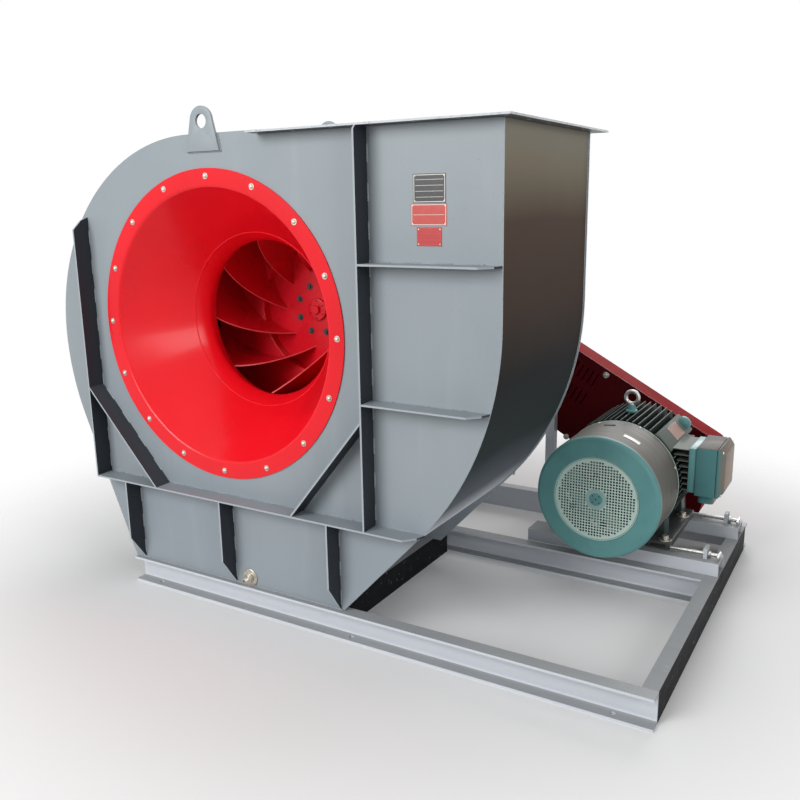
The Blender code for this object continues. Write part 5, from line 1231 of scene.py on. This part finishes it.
def build_grille():
    """Perforated disc: a square grid of round holes, with the middle and the rim left whole."""
    pitch = HOLE_PITCH
    bm = bmesh.new()
    bmesh.ops.create_grid(bm, x_segments=HOLE_ROWS, y_segments=HOLE_ROWS, size=pitch * HOLE_ROWS / 2)
    reach = GRILLE_RADIUS - 0.005
    inside = {face for face in bm.faces if max(vert.co.to_2d().length for vert in face.verts) < reach}
    bmesh.ops.delete(bm, geom=[face for face in bm.faces if face not in inside], context="FACES")
    pierced = [face for face in bm.faces if face.calc_center_median().length > 0.038]
    bmesh.ops.inset_individual(bm, faces=pierced, thickness=pitch * 0.12, use_even_offset=True)
    edges = {edge for face in pierced for edge in face.edges}
    bmesh.ops.subdivide_edges(bm, edges=list(edges), cuts=1)
    for face in pierced:
        centre = face.calc_center_median()
        for vert in face.verts:
            vert.co = centre + (vert.co - centre).normalized() * HOLE_RADIUS
    bmesh.ops.delete(bm, geom=pierced, context="FACES_ONLY")
    rim = [
        edge for edge in bm.edges
        if edge.is_boundary and edge.calc_length() > HOLE_RADIUS * 2.4
        and min(vert.co.to_2d().length for vert in edge.verts) > reach - pitch * 1.6
    ]
    ring = bmesh.ops.create_circle(bm, segments=96, radius=GRILLE_RADIUS)["verts"]
    outer = {edge for vert in ring for edge in vert.link_edges}
    bmesh.ops.triangle_fill(bm, use_beauty=True, use_dissolve=False, edges=rim + list(outer))
    bmesh.ops.remove_doubles(bm, verts=bm.verts, dist=1e-6)
    push_out(bm, bm.faces[:], (0, 0, 0.0025))
    moved(bm, shift(0, 0.7170, 0) @ TO_UP)
    piece("perforated_disc", bm, "motor_carriage", [GRILLE], MOTOR, ["cowl_grille"])
    face, front = 0.7145, 0.7133
    boss = turned([(0, face), (0.024, face), (0.024, 0.7138), (0.021, front), (0, front)], 48, closed=False)
    piece("grille_boss", boss, "motor_carriage", [TEAL], MOTOR)
    spots = [(0.0, front, 0.0)] + [(0.012 * x, front, 0.012 * z) for x in (-1, 1) for z in (-1, 1)]
    for radius, angle in DOT_CLUSTERS:
        x, z = radius * math.cos(math.radians(angle)), radius * math.sin(math.radians(angle))
        spots += [(x + 0.0052 * a, 0.7146, z + 0.0052 * b) for a in (-1, 1) for b in (-1, 1)]
    dots = copies(domed_head(0.0026, 0.0006), [shift(*spot) @ TO_FRONT for spot in spots])
    piece("grille_dots", dots, "motor_carriage", [DARK], MOTOR)


def build_terminal_box():
    low, high = BOX_LEVELS
    body = box((0.2785, BOX_FRONT, low), (0.3525, BOX_REAR, high), 0.006)
    housing = slab(rounded((0.2865, 1.028), (0.3445, 1.128), 0.016), -0.065, -0.027, "Z")
    soften(housing, 0.005)
    lid = box((0.3528, BOX_FRONT, low), (BOX_RIGHT, BOX_REAR, high))
    crown = [edge for edge in lid.edges if all(abs(vert.co.x - BOX_RIGHT) < 1e-6 for vert in edge.verts)]
    bmesh.ops.bevel(lid, geom=crown, offset=0.020, segments=1, profile=0.5, affect="EDGES", material=-1)
    soften(lid, 0.003, 2, 30)
    shapes = (("body", gather(body, housing), "terminal_box"), ("cover", lid, "terminal_box_lid"))
    for word, shape, node in shapes:
        piece(f"terminal_box_{word}", shape, "motor_carriage", [BOX_TEAL], MOTOR, [node])
    inset = 0.012
    corners = [(y, z) for y in (BOX_FRONT + inset, BOX_REAR - inset) for z in (low + inset, high - inset)]
    places = [shift(0.3700, y, z) @ TO_RIGHT for y, z in corners]
    fixings("terminal_box_screws", domed_head(0.005, 0.004), places, "motor_carriage", MOTOR)


def build_eyebolt():
    seat = EYEBOLT_SEAT
    collar = turned([
        (0, seat), (0.022, seat), (0.022, seat + 0.006), (0.016, seat + 0.010), (0.012, seat + 0.030),
        (0.009, seat + 0.034), (0, seat + 0.034),
    ], 40, closed=False)
    collar = moved(collar, shift(0, EYEBOLT_Y, 0) @ TO_UP)
    ring = moved(turned(circle((0.0245, 0), 0.0075, 16), 48), shift(0, EYEBOLT_Y, 0.2888))
    both = gather(collar, ring)
    use(both, 1, lambda face: face.calc_center_median().z > seat + 0.026)
    piece("motor_eyebolt", both, "motor_carriage", [TEAL, BRIGHT], MOTOR, ["lifting_eyebolt"])


def build_tension_screws():
    for word, y in TENSION_SCREWS:
        side = [(SCREW_RADIUS, SCREW_START), (SCREW_RADIUS, SCREW_END)]
        shank = turned([(0, SCREW_START), *side, (0, SCREW_END)], 24, closed=False)
        shank = moved(shank, Matrix.Rotation(-math.pi / 2, 4, "Z"))
        bar = rod([(1.5060, -0.030, 0), (1.5060, 0.030, 0)], 0.0056, 14)
        screw = moved(gather(shank, soften(bar, 0.0012, 1, 60)), shift(0, y, SCREW_LEVEL))
        nut = moved(hexagon_head(0.024, 0.010, washer=False), shift(1.4693, y, SCREW_LEVEL) @ TO_RIGHT)
        name, node = f"{word}_pushing_screw", f"{word}_tension_screw"
        piece(name, gather(screw, nut), "motor_carriage", [BRIGHT], stands_for=[node])


# Belt drive, its guard, and the shaft in its bearings


def guard_outline(steps=14):
    """The guard's side view with rounded corners."""
    slope = math.atan2(MOTOR[2] - FAN[2], MOTOR[0]) + math.radians(GUARD_LEAN)
    along = Vector((math.cos(slope), math.sin(slope)))
    up = Vector((-along.y, along.x))
    corners = [along * length + up * height for length, height in GUARD_CORNERS]
    outline = []
    for index, radius in enumerate(GUARD_CORNER_RADII):
        corner = corners[index]
        into = (corner - corners[index - 1]).normalized()
        out = (corners[(index + 1) % 4] - corner).normalized()
        half = into.angle(out) / 2
        centre = corner + (out - into).normalized() * radius / math.cos(half)
        start = math.degrees(math.atan2(-into.x, into.y))
        outline += arc(centre, radius, start, start + math.degrees(half) * 2, steps)
    return outline


def build_guard():
    shell = slab(guard_outline(), GUARD_FRONT, GUARD_REAR)
    open_side = [face for face in shell.faces if face.normal.y < -0.9]
    bmesh.ops.inset_region(shell, faces=open_side, thickness=GUARD_WALL, use_even_offset=True)
    push_out(shell, open_side, (0, GUARD_REAR - GUARD_FRONT - GUARD_WALL, 0))
    bmesh.ops.delete(shell, geom=open_side, context="FACES")
    piece("guard_shell", shell, "root", [GUARD_RED], FAN, ["belt_guard_cover"])
    along = Vector((MOTOR[0], MOTOR[2] - FAN[2])).normalized()
    up = Vector((-along.y, along.x))
    spots = [along * length + up * height for length in (0.25, 0.60, 0.95) for height in (-0.200, 0.148)]
    places = [shift(x, GUARD_FRONT - GUARD_WALL - GAP, z) @ TO_FRONT for x, z in spots]
    fixings("guard_screws", hexagon_head(0.013, 0.0055), places)


def build_pulleys():
    bore, hub, step = SHAFT_SEAT, SHAFT_SEAT + 0.022, PULLEY_FRONT + 0.040
    bodies = (("fan_rotor", FAN, "driven"), ("motor_armature", MOTOR, "drive"))
    for radius, (body, axis, word) in zip(PULLEY_RADII, bodies):
        root, rim = radius - 0.016, radius - 0.030
        profile = [(bore, PULLEY_FRONT), (hub, PULLEY_FRONT), (hub + 0.004, step), (rim - 0.004, step)]
        profile += [(rim, PULLEY_FRONT), (radius - 0.001, PULLEY_FRONT), (radius, PULLEY_FRONT + 0.001)]
        for y in GROOVES:
            profile += [(radius, y - 0.011), (root, y - 0.006), (root, y + 0.006), (radius, y + 0.011)]
        profile += [(radius, PULLEY_REAR - 0.001), (radius - 0.001, PULLEY_REAR), (bore, PULLEY_REAR)]
        node = f"{word}_pulley"
        piece(f"{word}_v_pulley", turned(profile, 96), body, [IRON], axis, [node])


def belt_line(depth):
    """A tight loop round both pulleys, as (x, z) from the fan axis."""
    reach = Vector((MOTOR[0] - FAN[0], MOTOR[2] - FAN[2]))
    slope = math.degrees(math.atan2(reach.y, reach.x))
    lean = math.degrees(math.asin((PULLEY_RADII[1] - PULLEY_RADII[0]) / reach.length))
    high, low = slope + 90 + lean, slope - 90 - lean
    fan_side = arc((0, 0), PULLEY_RADII[0] - depth, high, low + 360, 32)
    motor_side = arc(tuple(reach), PULLEY_RADII[1] - depth, low, high, 32)
    line = []
    for side, following in ((fan_side, motor_side), (motor_side, fan_side)):
        line += side
        line += [Vector(side[-1]).lerp(Vector(following[0]), step / 10) for step in range(1, 10)]
    return line


def build_belts():
    """Each belt is one loop round both pulleys, on no body, baked in place."""
    for index, y in enumerate(GROOVES, 1):
        loops = [[(x, y + offset, z) for x, z in belt_line(depth)] for depth, offset in BELT_SECTION]
        rows, columns = len(loops), len(loops[0])
        belt = grid(columns, rows, lambda column, row: loops[row % rows][column % columns])
        belt = piece(f"belt_{index}", belt, None, [RUBBER], FAN, [f"v_belt_{index}"], sharp=50)
        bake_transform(belt)


def build_shafts():
    shaft = turned([
        (0, 0.5985), (0.030, 0.5985), (0.030, 0.6906), (0.035, 0.6906), (0.035, 1.4845), (0.030, 1.4845),
        (0.030, 1.5942), (0.029, 1.5952), (0, 1.5952),
    ], 64, closed=False)
    piece("turned_fan_shaft", shaft, "fan_rotor", [BRIGHT], FAN, ["fan_shaft"])
    bolts = copies(hexagon_head(0.013, 0.005), ring_of(6, 0.090, 0.7183, 0, TO_REAR))
    seal = turned([
        (BEARING_BORE, 0.7106), (0.1135, 0.7106), (0.115, 0.712), (0.115, 0.7170), (0.1135, 0.7183),
        (0.062, 0.7183), (0.055, 0.7253), (0.053, 0.7263), (BEARING_BORE, 0.7263),
    ], 96)
    seal = gather(seal, use(bolts, 1))
    piece("shaft_seal", seal, "root", [CASING, ZINC], FAN, ["rear_shaft_seal"])


def housing_halves():
    """The foot and the cap of a split bearing housing, as (x, z) from the fan axis."""
    lug, split = HOUSING_LUG, GAP / 2
    foot = [(-0.165, -0.112), (0.165, -0.112), (0.165, -0.080), (lug, -0.066), (lug, -split)]
    foot += [(x, min(z, -split)) for x, z in arc((0, 0), HOUSING_BORE, 0, -180, 32)]
    foot += [(-lug, -split), (-lug, -0.066), (-0.165, -0.080)]
    cap = [(lug, split), (lug, HOUSING_LUG_TOP), *arc((0, 0), HOUSING_DOME, 14.5, 165.5, 40)]
    cap += [(-lug, HOUSING_LUG_TOP), (-lug, split)]
    cap += [(x, max(z, split)) for x, z in arc((0, 0), HOUSING_BORE, 180, 0, 32)]
    return {"base": foot, "cap": cap}


def build_bearings():
    """Split pillow blocks: a foot with two bolts, a cap with four bolts and a grease nipple."""
    for word, y in BEARINGS.items():
        low, high = y - HOUSING_HALF_WIDTH, y + HOUSING_HALF_WIDTH
        for half, outline in housing_halves().items():
            body = soften(slab(outline, low, high), 0.003, 2, 30)
            node = f"{word}_bearing_{half}"
            piece(f"{word}_housing_{half}", body, "root", [IRON], FAN, [node])
        ring = turned([
            (BEARING_BORE, low + 0.003), (0.0612, low + 0.003), (0.0622, low + 0.004),
            (0.0622, high - 0.004), (0.0612, high - 0.003), (BEARING_BORE, high - 0.003),
        ], 64)
        piece(f"{word}_bearing_ring", ring, "root", [BRIGHT], FAN, [f"{word}_bearing_insert"])
        spots = [(side * 0.103, y + step) for side in (-1, 1) for step in (-0.028, 0.028)]
        heads = [shift(x, along, HOUSING_LUG_TOP) @ TO_UP for x, along in spots]
        feet = [shift(side * 0.142, y, -0.0865) @ TO_UP for side in (-1, 1)]
        bolts = gather(copies(hexagon_head(0.019, 0.009), heads), copies(hexagon_head(0.024, 0.012), feet))
        nipple = turned([
            (0, 0), (0.005, 0), (0.005, 0.006), (0.003, 0.007), (0.003, 0.011), (0.0042, 0.013),
            (0.002, 0.016), (0, 0.016),
        ], 20, closed=False)
        bolts = gather(bolts, moved(nipple, shift(0, y, 0.0878) @ TO_UP))
        piece(f"{word}_bearing_bolts", bolts, "root", [ZINC], FAN)


def build_base_fixings():
    """Bolts of the pedestal, and welds where the channels meet."""
    spots = [(side * 0.280, y) for side in (-1, 1) for y in (0.852, 1.153, 1.454)]
    places = [shift(x, y, 0.1163) @ TO_UP for x, y in spots]
    fixings("pedestal_bolts", hexagon_head(0.024, 0.012), places, at=(0, 0, 0))
    beads = [bead((x, y, WELD_BOTTOM), (x, y, WELD_TOP), 0.0035) for x, y in BASE_WELDS]
    welds("base_welds", beads, at=(0, 0, 0))


for build in (
    build_casing, build_flange, build_lugs, build_bar_welds, build_plates, build_drain, build_inlet,
    build_wheel, build_motor_body, build_feet, build_pad_plate, build_shields, build_cowl, build_grille,
    build_terminal_box, build_eyebolt, build_tension_screws, build_guard, build_pulleys, build_belts,
    build_shafts, build_bearings, build_base_fixings,
):
    build()


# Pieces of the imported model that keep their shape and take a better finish


def refinish(paint, *nodes):
    for node in nodes:
        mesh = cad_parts[node].data
        mesh.materials.clear()
        mesh.materials.append(paint)


refinish(
    RIB, "front_long_rib", "front_left_rib", "front_right_rib", "front_upper_rib", "front_lower_rib",
    "front_left_brace", "front_right_brace", "rear_long_rib", "rear_left_rib", "rear_right_rib",
)
refinish(
    BASE, "front_channel", "rear_channel", "left_end_channel", "middle_channel", "bearing_pedestal",
    "guard_post", "front_motor_rail", "rear_motor_rail",
)
# Painted shade on the sides of these two channels.
refinish(SHADED_SIDES_BASE, "right_end_channel", "cross_channel")
# The guard's front panel takes the painted shade.
refinish(SHADED_GUARD_PANEL, "belt_guard_panel")
refinish(BRIGHT, "motor_rotor")
# Painted shade: the cooling fan is painted near black so the grille holes look dark.
refinish(DARK, "cooling_fan")


# Studio


def lamp(name, place, target, size, power):
    light = bpy.data.lights.new(name, "AREA")
    light.shape = "SQUARE"
    light.size = size
    light.energy = power
    thing = bpy.data.objects.new(name, light)
    thing.location = place
    thing.rotation_euler = (Vector(target) - Vector(place)).to_track_quat("-Z", "Y").to_euler()
    bpy.context.scene.collection.objects.link(thing)


def floor_paint():
    """Pale floor that fades into the white backdrop a little way out from the machine."""
    finish = Finish("floor_paint", srgb(240, 240, 240), 0.8)
    finish.dull(0.0)
    x, y = finish.along("X") + CORNER.x, finish.along("Y") + CORNER.y
    share = (x * x + y * y).root().swell(1.25, 2.5)
    clear = finish.node("ShaderNodeBsdfTransparent", {}, {}, "BSDF")
    surface = Wire(finish, finish.shader.outputs["BSDF"])
    both = finish.node("ShaderNodeMixShader", {}, {0: share, 1: surface, 2: clear}, "Shader")
    material = finish.done()
    finish.tree.links.new(both.socket, finish.tree.nodes["Material Output"].inputs["Surface"])
    return material


def build_studio():
    floor = bmesh.new()
    bmesh.ops.create_grid(floor, x_segments=1, y_segments=1, size=30.0)
    mesh = bpy.data.meshes.new("studio_floor")
    floor.to_mesh(mesh)
    floor.free()
    thing = bpy.data.objects.new("studio_floor", mesh)
    bpy.context.scene.collection.objects.link(thing)
    mesh.materials.append(floor_paint())
    lamp("front_softbox", (-1.6, -5.2, 3.0), (0.0, 0.0, 0.8), 3.0, 206)
    lamp("right_softbox", (4.6, -2.6, 2.4), (0.4, 0.0, 0.5), 2.0, 60)
    lamp("top_softbox", (0.2, 0.4, 4.8), (0.0, 0.0, 0.0), 3.2, 50)
    lamp("rear_softbox", (0.5, 5.2, 3.0), (0.0, 0.0, 0.7), 3.0, 130)


def build_world():
    """Dim light on the machine, but plain white where the camera sees the world, also in a reflection."""
    world = bpy.data.worlds.new("studio")
    world.use_nodes = True
    bpy.context.scene.world = world
    tree = world.node_tree
    dim, white = tree.nodes["Background"], tree.nodes.new("ShaderNodeBackground")
    for background, strength in ((dim, 0.26), (white, 1.0)):
        background.inputs["Color"].default_value = (1.0, 1.0, 1.0, 1.0)
        background.inputs["Strength"].default_value = strength
    path = tree.nodes.new("ShaderNodeLightPath")
    seen = path.outputs["Is Camera Ray"]
    for ray in ("Is Glossy Ray", "Is Transmission Ray"):
        most = tree.nodes.new("ShaderNodeMath")
        most.operation = "MAXIMUM"
        tree.links.new(seen, most.inputs[0])
        tree.links.new(path.outputs[ray], most.inputs[1])
        seen = most.outputs[0]
    mix = tree.nodes.new("ShaderNodeMixShader")
    for index, socket in enumerate((seen, dim.outputs[0], white.outputs[0])):
        tree.links.new(socket, mix.inputs[index])
    tree.links.new(mix.outputs[0], tree.nodes["World Output"].inputs["Surface"])


def build_camera():
    camera = bpy.data.cameras.new("photo_camera")
    camera.sensor_width = 36.0
    camera.lens = 38.1686
    thing = bpy.data.objects.new("photo_camera", camera)
    thing.location = (1.620, -2.87965, 1.4261)
    turns = (76.82324, 0.92986, 30.76231)
    thing.rotation_euler = [math.radians(turn) for turn in turns]
    bpy.context.scene.collection.objects.link(thing)
    bpy.context.scene.camera = thing


build_studio()
build_world()
build_camera()
bpy.context.scene.view_settings.view_transform = "Standard"
